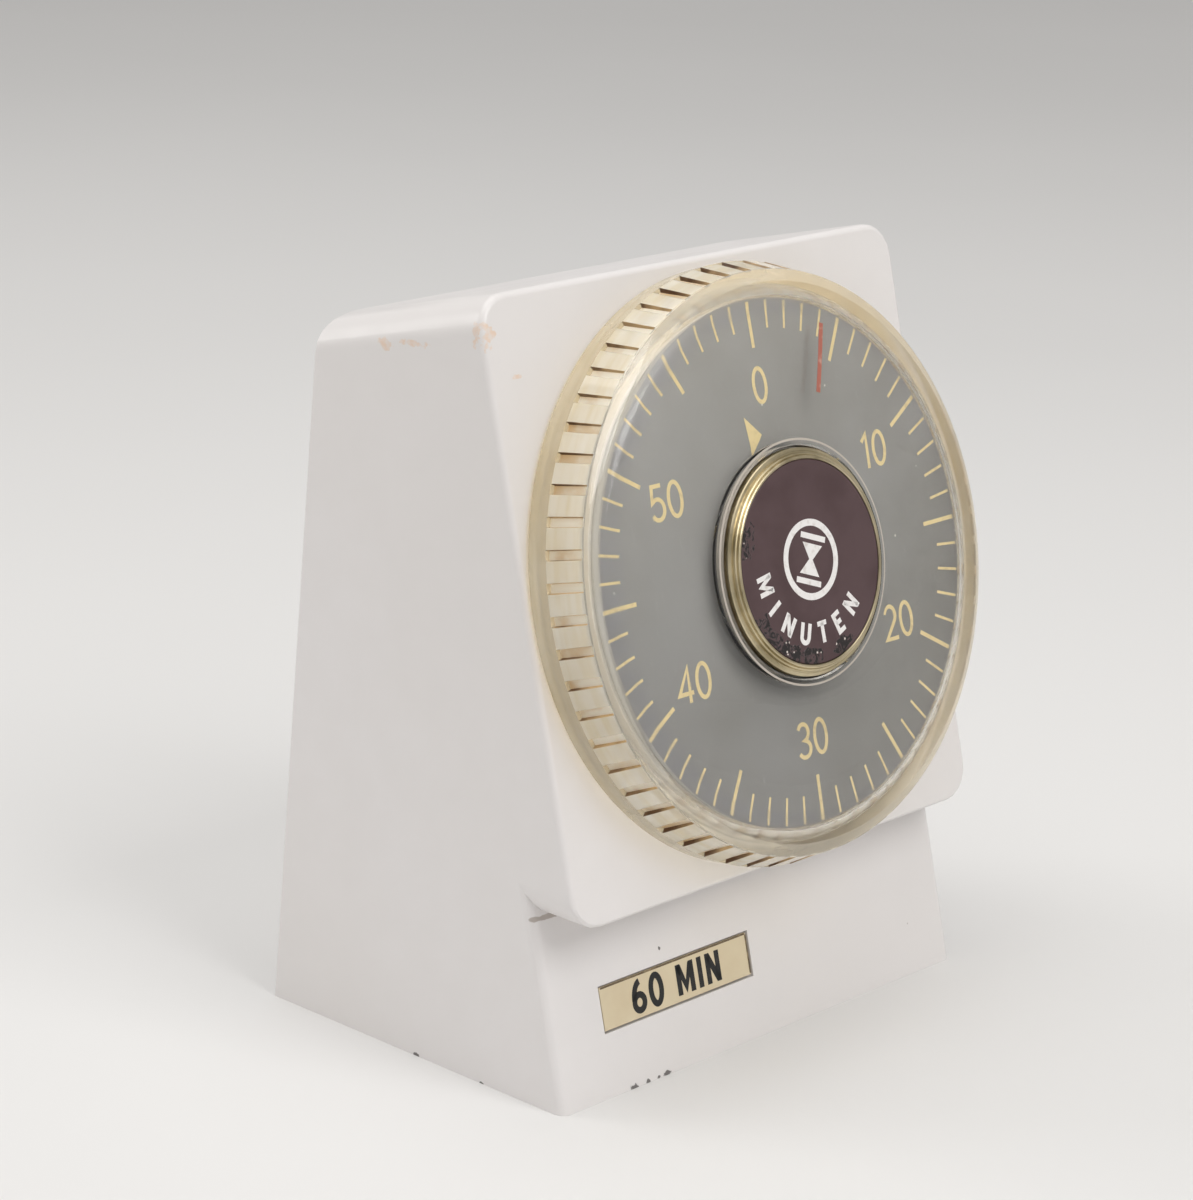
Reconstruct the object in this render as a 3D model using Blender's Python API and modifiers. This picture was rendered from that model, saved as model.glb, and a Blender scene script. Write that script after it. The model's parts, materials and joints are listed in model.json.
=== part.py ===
"""Clockwork sixty-minute interval timer with a bell: a leaning white case with a clear ribbed setting knob.

Metres, +Z up, the dial faces -Y. The origin is on the table, under the middle of the whole object's box.
Everything that turns is parallel to the dial's axis, so it is built in the dial's own frame: X to the right,
Y up the panel, Z out of the panel, with the panel's face at Z = 0.
"""

import math

import bmesh
import bpy
from mathutils import Matrix, Vector

MM = 0.001
GAP = 0.3 * MM
RUNNING = 0.05 * MM  # radial play of a pivot in its hole

# The case.
WIDTH = 84 * MM
WALL = 2.2 * MM
LEAN = math.radians(14)  # the panel leans back
REAR_LEAN = math.radians(5)  # the back leans forward
PANEL_UP = 43.3 * MM  # from the dial's axis to the panel's top edge
PANEL_DOWN = 42.5 * MM
PANEL_CORNER = 5 * MM
PANEL_EDGE = 1 * MM
OVERHANG = 8.3 * MM  # the panel's face in front of the base's face
BASE_CORNER = 1.6 * MM
REAR_TOP_CORNER = 5 * MM
AXIS_HEIGHT = 67.9 * MM  # the dial's centre on the panel's face
BASE_DEPTH = 58.4 * MM  # along the table, from the base's front edge to the back
REAR_OPENING = (-36 * MM, 36 * MM, 4 * MM, 92 * MM)  # left, right, low, high on the back
SOUND_SLOTS = [(36 + 6 * i) * MM for i in range(5)]  # heights up the back
PLATE_RECESS = (-31.8 * MM, -1.1 * MM, 8.8 * MM, 15.5 * MM)  # left, right, low, high on the base's face
REAR_SCREWS = [(side * 31 * MM, up) for side in (-1, 1) for up in (14 * MM, 84 * MM)]
FLOOR_SCREWS = [(side * 31 * MM, 30 * MM) for side in (-1, 1)]
HEAD_RECESS = 1.3 * MM  # how far a cover screw's head is let in
MOUNTING_SCREW_RING = 23 * MM

# The knob and the dial, outwards from the panel's face. The knob narrows from its skirt to its face.
KNOB_BACK = 0.4 * MM
SKIRT_RADIUS = 41.55 * MM
SKIRT_TOP = 4.3 * MM
SKIRT_TOP_RADIUS = 41.75 * MM
RIBS = 60
RIB_FOOT_RADIUS = 42.0 * MM  # over the ribs, beside the skirt
RIB_FOOT_DEPTH = 0.7 * MM
RIB_TOP = 9.5 * MM
RIB_TOP_RADIUS = 40.45 * MM
RIB_TOP_DEPTH = 0.35 * MM
FACE_RADIUS = 38.6 * MM  # where the face meets the bevel round it
FACE_EDGE = 10.6 * MM
FACE_BACK = 8.7 * MM
COLLAR_RADIUS = 17.0 * MM  # the face domes up to the edge of the hub's pocket
COLLAR_TOP = 11.9 * MM
POCKET_FLOOR = 10.9 * MM
RIM_INNER = 38.1 * MM
DIAL_RADIUS = 36.9 * MM
DIAL_TOP = 7.3 * MM
DIAL_THICKNESS = 0.5 * MM
HUB_RADIUS = 15.7 * MM
HUB_TOP = 13.3 * MM

# The movement, inwards from the panel's face.
PLATE_HALF = 33 * MM
PLATE_THICKNESS = 1.2 * MM
FRONT_PLATE = -6.5 * MM  # front faces of the two plates
REAR_PLATE = -22.0 * MM
PILLAR_PLACE = 28 * MM
ARBOR_RADIUS = 2.0 * MM
BELL_RADIUS = 22 * MM
BELL_CENTRE = (0.0, -8 * MM)
BELL_RIM = -26.4 * MM

# The going train: teeth and leaves, and the pitch radius of one tooth.
GREAT_TEETH, SECOND_TEETH, THIRD_TEETH, ESCAPE_TEETH = 60, 50, 48, 20
SECOND_LEAVES, THIRD_LEAVES, ESCAPE_LEAVES = 10, 10, 8
GREAT_MODULE, SECOND_MODULE, THIRD_MODULE = 0.6 * MM, 0.5 * MM, 0.45 * MM
CAM_RADIUS = 8 * MM
MAIN_SPRING_RADIUS = 12.2 * MM
PIVOT = 0.8 * MM
REST_TURN = math.radians(20)  # the knob stands three and a third minutes clockwise of its stop

WHITE = (0.86, 0.84, 0.83)
CLEAR = (0.87, 0.80, 0.62)
GREY = (0.30, 0.30, 0.31)
MAROON = (0.11, 0.065, 0.065)
BRASS = (0.78, 0.62, 0.32)
STEEL = (0.55, 0.55, 0.56)
CREAM = (0.80, 0.72, 0.55)
BLUED = (0.10, 0.12, 0.20)

parts = bpy.data.collections.new("interval_timer")
materials = {}


def clear_scene():
    for obj in list(bpy.data.objects):
        bpy.data.objects.remove(obj, do_unlink=True)
    bpy.context.scene.collection.children.link(parts)


def material(name, colour, roughness, metallic=0.0, transmission=0.0):
    if name not in materials:
        made = bpy.data.materials.new(name)
        made.use_nodes = True
        shader = made.node_tree.nodes["Principled BSDF"]
        shader.inputs["Base Color"].default_value = (*colour, 1.0)
        shader.inputs["Roughness"].default_value = roughness
        shader.inputs["Metallic"].default_value = metallic
        shader.inputs["Transmission Weight"].default_value = transmission
        materials[name] = made
    return materials[name]


def white_plastic():
    return material("white_plastic", WHITE, 0.28)


def brass():
    return material("brass", BRASS, 0.30, 1.0)


def steel():
    return material("steel", STEEL, 0.32, 1.0)


def blued_steel():
    return material("blued_steel", BLUED, 0.35, 1.0)


# Frames ---------------------------------------------------------------------------------------------


def turned_frame(name, origin, right, up):
    """An empty at origin whose X is right and whose Y is up."""
    out = right.cross(up)
    empty = bpy.data.objects.new(name, None)
    parts.objects.link(empty)
    columns = Matrix((right, up, out)).transposed().to_4x4()
    empty.matrix_world = Matrix.Translation(origin) @ columns
    return empty


def axis_behind_edge():
    """How far the dial's centre is behind the base's front edge, as the panel's face is OVERHANG in front."""
    return AXIS_HEIGHT * math.tan(LEAN) - OVERHANG / math.cos(LEAN)


def front_edge():
    """Where the base's front edge stands, with the object's box centred over the origin. The knob's lower
    edge is the foremost point."""
    knob_reach = FACE_EDGE * math.cos(LEAN) + FACE_RADIUS * math.sin(LEAN) - axis_behind_edge()
    return -(BASE_DEPTH - knob_reach) / 2


def make_frames():
    """The dial's frame, one on the back, one under the floor with Z down, and one for side views."""
    right, back, up = Vector((1, 0, 0)), Vector((0, 1, 0)), Vector((0, 0, 1))
    edge = back * front_edge()
    dial_up = Vector((0.0, math.sin(LEAN), math.cos(LEAN)))
    rear_up = Vector((0.0, -math.sin(REAR_LEAN), math.cos(REAR_LEAN)))
    dial_centre = edge + back * axis_behind_edge() + up * AXIS_HEIGHT
    dial = turned_frame("dial_frame", dial_centre, right, dial_up)
    rear = turned_frame("rear_frame", edge + back * BASE_DEPTH, -right, rear_up)
    floor = turned_frame("floor_frame", edge, -right, back)
    side = turned_frame("side_frame", edge, back, up)
    return dial, rear, floor, side


# Outlines -------------------------------------------------------------------------------------------


def circle(radius, steps=24, centre=(0.0, 0.0), around=False):
    """A regular outline; around=True puts its flats, not its corners, on the circle, as a hole needs."""
    reach = radius / math.cos(math.pi / steps) if around else radius
    angles = (2 * math.pi * i / steps for i in range(steps))
    return [(centre[0] + reach * math.cos(a), centre[1] + reach * math.sin(a)) for a in angles]


def arc(centre, radius, start, end, steps):
    turn = (end - start) / steps
    angles = (start + turn * i for i in range(steps + 1))
    return [(centre[0] + radius * math.cos(a), centre[1] + radius * math.sin(a)) for a in angles]


def rounded_box(left, right, low, high, radius, steps=5):
    quarter = math.pi / 2
    corners = ((right, high, 0), (left, high, 1), (left, low, 2), (right, low, 3))
    points = []
    for x, y, turn in corners:
        inward_x = -radius if turn in (0, 3) else radius
        inward_y = -radius if turn in (0, 1) else radius
        centre = (x + inward_x, y + inward_y)
        points += arc(centre, radius, turn * quarter, (turn + 1) * quarter, steps)
    return points


def toothed(teeth, root, tip, root_share, tip_share, lean=0.0):
    """Flat-topped teeth: the shares are the tooth's width in pitches at its root and at its tip."""
    pitch = 2 * math.pi / teeth
    points = []
    for i in range(teeth):
        middle = pitch * i
        for radius, offset in (
            (root, -root_share / 2),
            (tip, lean - tip_share / 2),
            (tip, lean + tip_share / 2),
            (root, root_share / 2),
        ):
            angle = middle + pitch * offset
            points.append((radius * math.cos(angle), radius * math.sin(angle)))
    return points


def turned_by(points, angle, centre=(0.0, 0.0)):
    c, s = math.cos(angle), math.sin(angle)
    return [(centre[0] + c * x - s * y, centre[1] + s * x + c * y) for x, y in points]


def wheel_outline(teeth, module):
    pitch_radius = teeth * module / 2
    return toothed(teeth, pitch_radius - 1.15 * module, pitch_radius + 0.75 * module, 0.52, 0.16)


def pinion_outline(leaves, module):
    pitch_radius = leaves * module / 2
    return toothed(leaves, pitch_radius - 1.15 * module, pitch_radius + 0.6 * module, 0.40, 0.16)


def windows(inner, outer, count, arm):
    """The holes between a wheel's arms: ring sectors from inner to outer, with arms of this width between."""
    holes = []
    for i in range(count):
        middle = 2 * math.pi * (i + 0.5) / count
        half_outer = math.pi / count - arm / 2 / outer
        half_inner = math.pi / count - arm / 2 / inner
        far = arc((0.0, 0.0), outer, middle - half_outer, middle + half_outer, 36 // count)
        near = arc((0.0, 0.0), inner, middle + half_inner, middle - half_inner, 18 // count)
        holes.append(far + near)
    return holes


# Solids ---------------------------------------------------------------------------------------------


def add(name, mesh, frame, finish=None, place=(0.0, 0.0, 0.0)):
    obj = bpy.data.objects.new(name, mesh)
    parts.objects.link(obj)
    obj.parent = frame
    obj.location = place
    if finish is not None:
        mesh.materials.clear()
        mesh.materials.append(finish)
    return obj


def evaluated_mesh(obj):
    bpy.context.view_layer.update()
    graph = bpy.context.evaluated_depsgraph_get()
    return bpy.data.meshes.new_from_object(obj.evaluated_get(graph))


def bake(obj):
    """Applies the modifiers."""
    finish = list(obj.data.materials)
    mesh = evaluated_mesh(obj)
    obj.modifiers.clear()
    obj.data = mesh
    mesh.materials.clear()
    for each in finish:
        mesh.materials.append(each)


def flat(name, outlines, low, high, frame, finish=None, place=(0.0, 0.0, 0.0)):
    """A flat piece between two levels; outlines after the first are holes in it."""
    curve = bpy.data.curves.new(name, "CURVE")
    curve.dimensions = "2D"
    curve.fill_mode = "BOTH"
    curve.extrude = (high - low) / 2
    for outline in outlines:
        spline = curve.splines.new("POLY")
        spline.points.add(len(outline) - 1)
        for point, (x, y) in zip(spline.points, outline):
            point.co = (x, y, 0.0, 1.0)
        spline.use_cyclic_u = True
    drawn = add(name, curve, None)
    mesh = evaluated_mesh(drawn)
    bpy.data.objects.remove(drawn)
    bpy.data.curves.remove(curve)
    bm = bmesh.new()
    bm.from_mesh(mesh)
    bmesh.ops.translate(bm, verts=bm.verts, vec=(0.0, 0.0, (high + low) / 2))
    bmesh.ops.remove_doubles(bm, verts=bm.verts, dist=1e-6)
    bmesh.ops.recalc_face_normals(bm, faces=bm.faces)
    bm.to_mesh(mesh)
    bm.free()
    return add(name, mesh, frame, finish, place)


def turned(name, profile, frame, finish=None, place=(0.0, 0.0, 0.0), steps=32):
    """A turned solid. The profile's (radius, height) points run down its outer side; one that starts or ends
    off the axis is closed on itself, which makes a ring or a tube."""
    mesh = bpy.data.meshes.new(name)
    count = len(profile)
    edges = [(i, i + 1) for i in range(count - 1)]
    if profile[0][0] > 0 or profile[-1][0] > 0:
        edges.append((count - 1, 0))
    mesh.from_pydata([(radius, 0.0, height) for radius, height in profile], edges, [])
    obj = add(name, mesh, frame, finish, place)
    screw = obj.modifiers.new("turn", "SCREW")
    screw.steps = steps
    screw.render_steps = steps
    screw.use_merge_vertices = True
    screw.merge_threshold = 1e-6
    bake(obj)
    obj.data.shade_smooth()
    obj.data.set_sharp_from_angle(angle=math.radians(30))
    return obj


def rod(name, radius, low, high, frame, finish=None, place=(0.0, 0.0, 0.0), steps=16):
    profile = [(0.0, high), (radius, high), (radius, low), (0.0, low)]
    return turned(name, profile, frame, finish, place, steps)


def tube(name, outer, inner, low, high, frame, finish=None, place=(0.0, 0.0, 0.0), steps=24):
    profile = [(inner, high), (outer, high), (outer, low), (inner, low)]
    return turned(name, profile, frame, finish, place, steps)


def block(name, low, high, frame, finish=None):
    """A box between two opposite corners."""
    bm = bmesh.new()
    bmesh.ops.create_cube(bm, size=1.0)
    size = [b - a for a, b in zip(low, high)]
    middle = [(a + b) / 2 for a, b in zip(low, high)]
    bmesh.ops.scale(bm, verts=bm.verts, vec=size)
    bmesh.ops.translate(bm, verts=bm.verts, vec=middle)
    mesh = bpy.data.meshes.new(name)
    bm.to_mesh(mesh)
    bm.free()
    return add(name, mesh, frame, finish)


def combine(obj, others, operation):
    """Joins, cuts or trims obj with each of the others, which are used up."""
    for i, other in enumerate(others):
        boolean = obj.modifiers.new(f"{operation.lower()}_{i}", "BOOLEAN")
        boolean.operation = operation
        boolean.solver = "EXACT"
        boolean.object = other
    bake(obj)
    for other in others:
        bpy.data.objects.remove(other, do_unlink=True)
    return obj


# The case -------------------------------------------------------------------------------------------


def case_form(name, inset, dial, side):
    """The case's outer form when inset is 0, and its hollow when inset is the wall."""
    half = WIDTH / 2 - inset
    reach = 90 * MM
    corner = PANEL_CORNER - inset * 0.9
    underside = -PANEL_DOWN + inset / math.cos(LEAN) + inset * math.tan(LEAN)
    head = rounded_box(-half, half, underside, PANEL_UP - inset, corner)
    form = flat(name, [head], -reach, -inset, dial)
    level_underside(form, reach - inset)
    if inset == 0:
        round_front_edge(form)
    base_corner = max(BASE_CORNER - inset, 0.3 * MM)
    footprint = rounded_box(-half, half, OVERHANG + inset, reach, base_corner)
    base = flat("base_form", [footprint], -reach, 0.0, dial)
    base.rotation_euler = (-math.pi / 2, 0.0, 0.0)
    combine(form, [base], "UNION")
    combine(form, [envelope(inset, side)], "INTERSECT")
    return form


def level_underside(form, depth):
    """Lifts the far end of the panel's lower edge, so the step under the panel is level with the table."""
    for vertex in form.data.vertices:
        if vertex.co.y < 0 and vertex.co.z < -depth / 2:
            vertex.co.y += depth * math.tan(LEAN)


def round_front_edge(form):
    """Rounds the panel's outline where it meets the sides."""
    bm = bmesh.new()
    bm.from_mesh(form.data)
    bmesh.ops.dissolve_limit(bm, angle_limit=0.001, verts=bm.verts, edges=bm.edges)
    front = [edge for edge in bm.edges if all(abs(v.co.z) < 1e-6 for v in edge.verts)]
    bmesh.ops.bevel(bm, geom=front, offset=PANEL_EDGE, segments=3, profile=0.5, affect="EDGES")
    bm.to_mesh(form.data)
    bm.free()


def envelope(inset, side):
    """The case from the side: the floor, the back, and the rounded edge between the back and the top. The top
    and the front are left open, and the hollow runs out through the floor."""
    floor = -1 * MM if inset else 0.0
    back_slope = math.tan(REAR_LEAN)
    foot = BASE_DEPTH - inset / math.cos(REAR_LEAN)
    radius = REAR_TOP_CORNER - inset
    top_edge = PANEL_UP - inset
    top = (
        axis_behind_edge() + top_edge * math.sin(LEAN),
        AXIS_HEIGHT + top_edge * math.cos(LEAN),
    )
    # The top falls backwards at LEAN, so both lines are known. The arc's centre is radius inside each.
    top_inside = top[1] - radius / math.cos(LEAN) + top[0] * math.tan(LEAN)
    foot_inside = foot - radius / math.cos(REAR_LEAN)
    up = (top_inside - foot_inside * math.tan(LEAN)) / (1 - back_slope * math.tan(LEAN))
    centre = (foot_inside - up * back_slope, up)
    corner = arc(centre, radius, REAR_LEAN, math.pi / 2 - LEAN, 6)
    far_front, sky = -40 * MM, 150 * MM
    outline = [(far_front, floor), (foot - floor * back_slope, floor), *corner]
    outline += [(corner[-1][0], sky), (far_front, sky)]
    return flat("envelope", [outline], -WIDTH, WIDTH, side)


def base_level():
    """How far up the panel's own Y the base's front edge on the table is, which is below zero."""
    return -AXIS_HEIGHT / math.cos(LEAN) + OVERHANG * math.tan(LEAN)


def recess_box(grow, low, high):
    left, right, bottom, top = PLATE_RECESS
    start = base_level()
    return (
        (left - grow, start + bottom - grow, low - OVERHANG),
        (right + grow, start + top + grow, high - OVERHANG),
    )


def make_housing(dial, rear, floor, side):
    housing = case_form("housing", 0.0, dial, side)
    housing.data.materials.append(white_plastic())
    combine(housing, [case_form("hollow", WALL, dial, side)], "DIFFERENCE")
    posts = [rod("post", 4 * MM, -6.2 * MM, -WALL + GAP, dial, place=(x, y, 0)) for x, y in MOUNTING_SCREWS]
    lugs = [screw_lug(place, -10 * MM, -WALL + 0.2 * MM, rear) for place in REAR_SCREWS]
    lugs += [screw_lug(place, -12 * MM, -WALL, floor) for place in FLOOR_SCREWS]
    combine(housing, posts + lugs, "UNION")
    cuts = [rod("bore", 1.8 * MM, -8 * MM, 2 * MM, dial, place=(x, y, 0)) for x, y in MOUNTING_SCREWS]
    cuts.append(rod("bore", 4.5 * MM, -8 * MM, 2 * MM, dial, steps=24))
    left, right, low, high = REAR_OPENING
    cuts.append(flat("opening", [rounded_box(left, right, low, high, 3 * MM)], -WALL - GAP, 2 * MM, rear))
    cuts += [rod("bore", 1.3 * MM, -12 * MM, 2 * MM, rear, place=(x, y, 0)) for x, y in REAR_SCREWS]
    cuts += [rod("bore", 1.3 * MM, -10 * MM, 2 * MM, floor, place=(x, y, 0)) for x, y in FLOOR_SCREWS]
    cuts.append(block("recess", *recess_box(0.0, -0.9 * MM, 2 * MM), dial))
    return combine(housing, cuts, "DIFFERENCE")


def screw_lug(place, low, high, frame):
    """A square lug from a side wall's inner face to just past its screw."""
    side = math.copysign(1.0, place[0])
    xs = sorted((side * (WIDTH / 2 - WALL + 0.3 * MM), place[0] - side * 4 * MM))
    half = 4.5 * MM
    return block("lug", (xs[0], place[1] - half, low), (xs[1], place[1] + half, high), frame)


def stepped_bores(obj, places, head_radius, seat, shank_radius, frame):
    """Cuts screw holes that widen above the seat for the screws' heads."""
    top, bottom = 10 * MM, -5 * MM
    profile = [
        (0.0, top),
        (head_radius, top),
        (head_radius, seat),
        (shank_radius, seat),
        (shank_radius, bottom),
        (0.0, bottom),
    ]
    cuts = [turned("bore", profile, frame, place=(x, y, 0.0), steps=12) for x, y in places]
    return combine(obj, cuts, "DIFFERENCE")


def make_covers(rear, floor):
    left, right, low, high = REAR_OPENING
    outline = rounded_box(left + GAP, right - GAP, low + GAP, high - GAP, 2.7 * MM)
    slots = [rounded_box(-15 * MM, 15 * MM, up, up + 2.4 * MM, 1.19 * MM, 2) for up in SOUND_SLOTS]
    cover = flat("rear_cover", [outline, *slots], -WALL, 0.0, rear, white_plastic())
    stepped_bores(cover, REAR_SCREWS, 2.9 * MM, -HEAD_RECESS, 1.5 * MM, rear)
    half = WIDTH / 2 - WALL - GAP
    thickness = WALL - GAP
    front = WALL / math.cos(LEAN) + WALL * math.tan(LEAN) + GAP
    back = BASE_DEPTH - WALL / math.cos(REAR_LEAN) - WALL * math.tan(REAR_LEAN) - GAP
    outline = rounded_box(-half, half, front, back, 0.8 * MM, 3)
    dark = material("dark_fibre", (0.06, 0.055, 0.05), 0.8)
    plate = flat("bottom_plate", [outline], -thickness, 0.0, floor, dark)
    stepped_bores(plate, FLOOR_SCREWS, 2.9 * MM, -HEAD_RECESS, 1.5 * MM, floor)


def screw_piece(name, head_radius, head_height, shank_radius, length, frame, place):
    """A cheese-head screw whose head stands up from place, with a slot across it."""
    profile = [
        (0.0, head_height),
        (head_radius, head_height),
        (head_radius, 0.0),
        (shank_radius, 0.0),
        (shank_radius, -length),
        (0.0, -length),
    ]
    piece = turned(name, profile, frame, steel(), place, 12)
    reach = 2 * head_radius
    slot = block("slot", (-reach, -0.4 * MM, head_height * 0.5), (reach, 0.4 * MM, head_height * 2), frame)
    slot.location = place
    return combine(piece, [slot], "DIFFERENCE")


def make_case_screws(rear, floor):
    """The heads sit in the covers' recesses, a little below the surface."""
    corners = ("lower_right", "upper_right", "lower_left", "upper_left")
    seat = -HEAD_RECESS + GAP / 2
    for name, (x, y) in zip(corners, REAR_SCREWS):
        screw_piece(f"rear_screw_{name}", 2.5 * MM, 1.0 * MM, 1.1 * MM, 8 * MM, rear, (x, y, seat))
    for name, (x, y) in zip(("right", "left"), FLOOR_SCREWS):
        screw_piece(f"floor_screw_{name}", 2.5 * MM, 1.0 * MM, 1.1 * MM, 6 * MM, floor, (x, y, seat))


def make_name_plate(dial):
    low, high = recess_box(-GAP, -0.6 * MM, -0.15 * MM)
    block("name_plate", low, high, dial, material("cream_label", CREAM, 0.45))


# The dial and the knob --------------------------------------------------------------------------------


def make_dial(dial):
    inner = 8 * MM
    top = DIAL_TOP - DIAL_THICKNESS - GAP
    floor = 4.0 * MM
    rim = DIAL_RADIUS + 0.3 * MM
    wall = 1.2 * MM
    profile = [(inner, top), (rim, top), (rim, GAP), (rim - wall, GAP), (rim - wall, floor), (inner, floor)]
    carrier = turned("dial_carrier", profile, dial, white_plastic(), steps=48)
    posts = [rod("post", 4.5 * MM, GAP, floor + GAP, dial, place=(x, y, 0)) for x, y in MOUNTING_SCREWS]
    combine(carrier, posts, "UNION")
    stepped_bores(carrier, MOUNTING_SCREWS, 3.4 * MM, 4.15 * MM, 1.8 * MM, dial)
    outlines = [circle(DIAL_RADIUS, 60), circle(inner, 24, around=True)]
    flat("dial_disc", outlines, DIAL_TOP - DIAL_THICKNESS, DIAL_TOP, dial, material("dial_grey", GREY, 0.5))
    for i, (x, y) in enumerate(MOUNTING_SCREWS):
        screw_piece(f"mounting_screw_{i + 1}", 3 * MM, 1.6 * MM, 1.35 * MM, 14 * MM, dial, (x, y, 4.4 * MM))


def make_knob(dial):
    """A clear cup over the dial: a plain skirt, sixty ribs, a domed face, a pocket for the hub, and a column
    down to the arbor."""
    column, bore = 6.5 * MM, 4.7 * MM
    pocket = HUB_RADIUS + GAP
    profile = [
        (bore, POCKET_FLOOR),
        (pocket, POCKET_FLOOR),
        (pocket, COLLAR_TOP),
        (COLLAR_RADIUS, COLLAR_TOP),
        (27 * MM, 11.6 * MM),
        (33 * MM, 11.2 * MM),
        (FACE_RADIUS, FACE_EDGE),
        (RIB_TOP_RADIUS - RIB_TOP_DEPTH, RIB_TOP + 0.25 * MM),
        (RIB_FOOT_RADIUS - RIB_FOOT_DEPTH, SKIRT_TOP + 0.1 * MM),
        (SKIRT_TOP_RADIUS, SKIRT_TOP),
        (SKIRT_RADIUS, KNOB_BACK),
        (RIM_INNER, KNOB_BACK),
        (RIM_INNER, FACE_BACK),
        (column, FACE_BACK),
        (column, 1.6 * MM),
        (bore, 1.6 * MM),
    ]
    clear = material("clear_plastic", CLEAR, 0.08, 0.0, 0.9)
    knob = turned("time_knob", profile, dial, clear, steps=RIBS)
    return combine(knob, [rib_ring(dial)], "UNION")


def rib_ring(dial):
    """The ribs as a ring of teeth, drawn in towards the face."""
    root = RIB_FOOT_RADIUS - RIB_FOOT_DEPTH - 0.1 * MM
    inner = RIM_INNER + GAP
    outlines = [toothed(RIBS, root, RIB_FOOT_RADIUS, 0.72, 0.62), circle(inner, RIBS)]
    ring = flat("ribs", outlines, SKIRT_TOP - 0.3 * MM, RIB_TOP, dial)
    narrowing = RIB_TOP_RADIUS / RIB_FOOT_RADIUS
    for vertex in ring.data.vertices:
        if vertex.co.z > SKIRT_TOP and vertex.co.xy.length > root - 0.1 * MM:
            vertex.co.x *= narrowing
            vertex.co.y *= narrowing
    return ring


def make_hub(dial):
    """The brass cap with its lip, the label in it, and what ties the knob to the arbor below them."""
    lip = HUB_RADIUS - 1.1 * MM
    cap = [
        (0.0, 12.4 * MM),
        (lip - 0.5 * MM, 12.4 * MM),
        (lip - 0.5 * MM, HUB_TOP),
        (lip, HUB_TOP),
        (HUB_RADIUS, 12.3 * MM),
        (HUB_RADIUS, 11.2 * MM),
        (0.0, 11.2 * MM),
    ]
    turned("hub_cap", cap, dial, brass(), steps=48)
    label = lip - 0.5 * MM - 0.1 * MM
    maroon = material("maroon_label", MAROON, 0.3)
    rod("hub_label", label, 12.5 * MM, HUB_TOP - 0.1 * MM, dial, maroon, steps=48)
    tube("knob_bush", 4.4 * MM, ARBOR_RADIUS + RUNNING, 1.8 * MM, 9.4 * MM, dial, brass())
    screw_piece("knob_screw", 3.6 * MM, 1.2 * MM, 1.0 * MM, 5.5 * MM, dial, (0.0, 0.0, 9.7 * MM))


# The movement's frame ---------------------------------------------------------------------------------


def place_at(start, distance, degrees):
    angle = math.radians(degrees)
    return (start[0] + distance * math.cos(angle), start[1] + distance * math.sin(angle))


def mesh_distance(teeth, leaves, module):
    return (teeth + leaves) * module / 2


MAIN = (0.0, 0.0)
SECOND = place_at(MAIN, mesh_distance(GREAT_TEETH, SECOND_LEAVES, GREAT_MODULE), 225)
THIRD = place_at(SECOND, mesh_distance(SECOND_TEETH, THIRD_LEAVES, SECOND_MODULE), -30)
ESCAPE = place_at(THIRD, mesh_distance(THIRD_TEETH, ESCAPE_LEAVES, THIRD_MODULE), 20)
PALLET = place_at(ESCAPE, 9.5 * MM, 20)
BALANCE = place_at(PALLET, 9.2 * MM, 75)
CLICK = place_at(MAIN, 8.3 * MM, 146)
HAMMER = (-27 * MM, 9 * MM)
RELEASE = (-17 * MM, 20 * MM)
NOSE_ANGLE = math.radians(202)  # where the release lever's nose meets the stop cam, square to the lever
NOSE_RADIUS = CAM_RADIUS + 0.4 * MM
SPRING_POST = (0.0, MAIN_SPRING_RADIUS + 1.5 * MM)
HAMMER_HEAD = 2.6 * MM
HAMMER_STAND_OFF = 1.6 * MM
STAR_RADIUS = 3.6 * MM
PILLARS = [(x * PILLAR_PLACE, y * PILLAR_PLACE) for x, y in ((-1, -1), (1, -1), (1, 1), (-1, 1))]
MOUNTING_SCREWS = [place_at(MAIN, MOUNTING_SCREW_RING, degrees) for degrees in (90, 210, -30)]


def make_plates(dial):
    pivots = [SECOND, THIRD, ESCAPE, PALLET, BALANCE, HAMMER, RELEASE]
    outline = rounded_box(-PLATE_HALF, PLATE_HALF, -PLATE_HALF, PLATE_HALF, 4 * MM, 4)
    pillar_holes = [circle(1.5 * MM, 12, place, around=True) for place in PILLARS]
    pivot_holes = [circle(PIVOT + RUNNING, 12, place, around=True) for place in pivots]
    arbor_hole = circle(ARBOR_RADIUS + RUNNING, 16, MAIN, around=True)
    screw_holes = [circle(1.45 * MM, 12, place, around=True) for place in MOUNTING_SCREWS]
    screw_holes.append(circle(1.0 * MM + RUNNING, 12, SPRING_POST, around=True))
    front = [outline, *pillar_holes, *pivot_holes, arbor_hole, *screw_holes]
    flat("front_plate", front, FRONT_PLATE - PLATE_THICKNESS, FRONT_PLATE, dial, brass())
    bell_hole = circle(1.6 * MM, 12, BELL_CENTRE, around=True)
    rear_outlines = [outline, *pillar_holes, *pivot_holes, arbor_hole, bell_hole]
    flat("rear_plate", rear_outlines, REAR_PLATE - PLATE_THICKNESS, REAR_PLATE, dial, brass())


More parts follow.
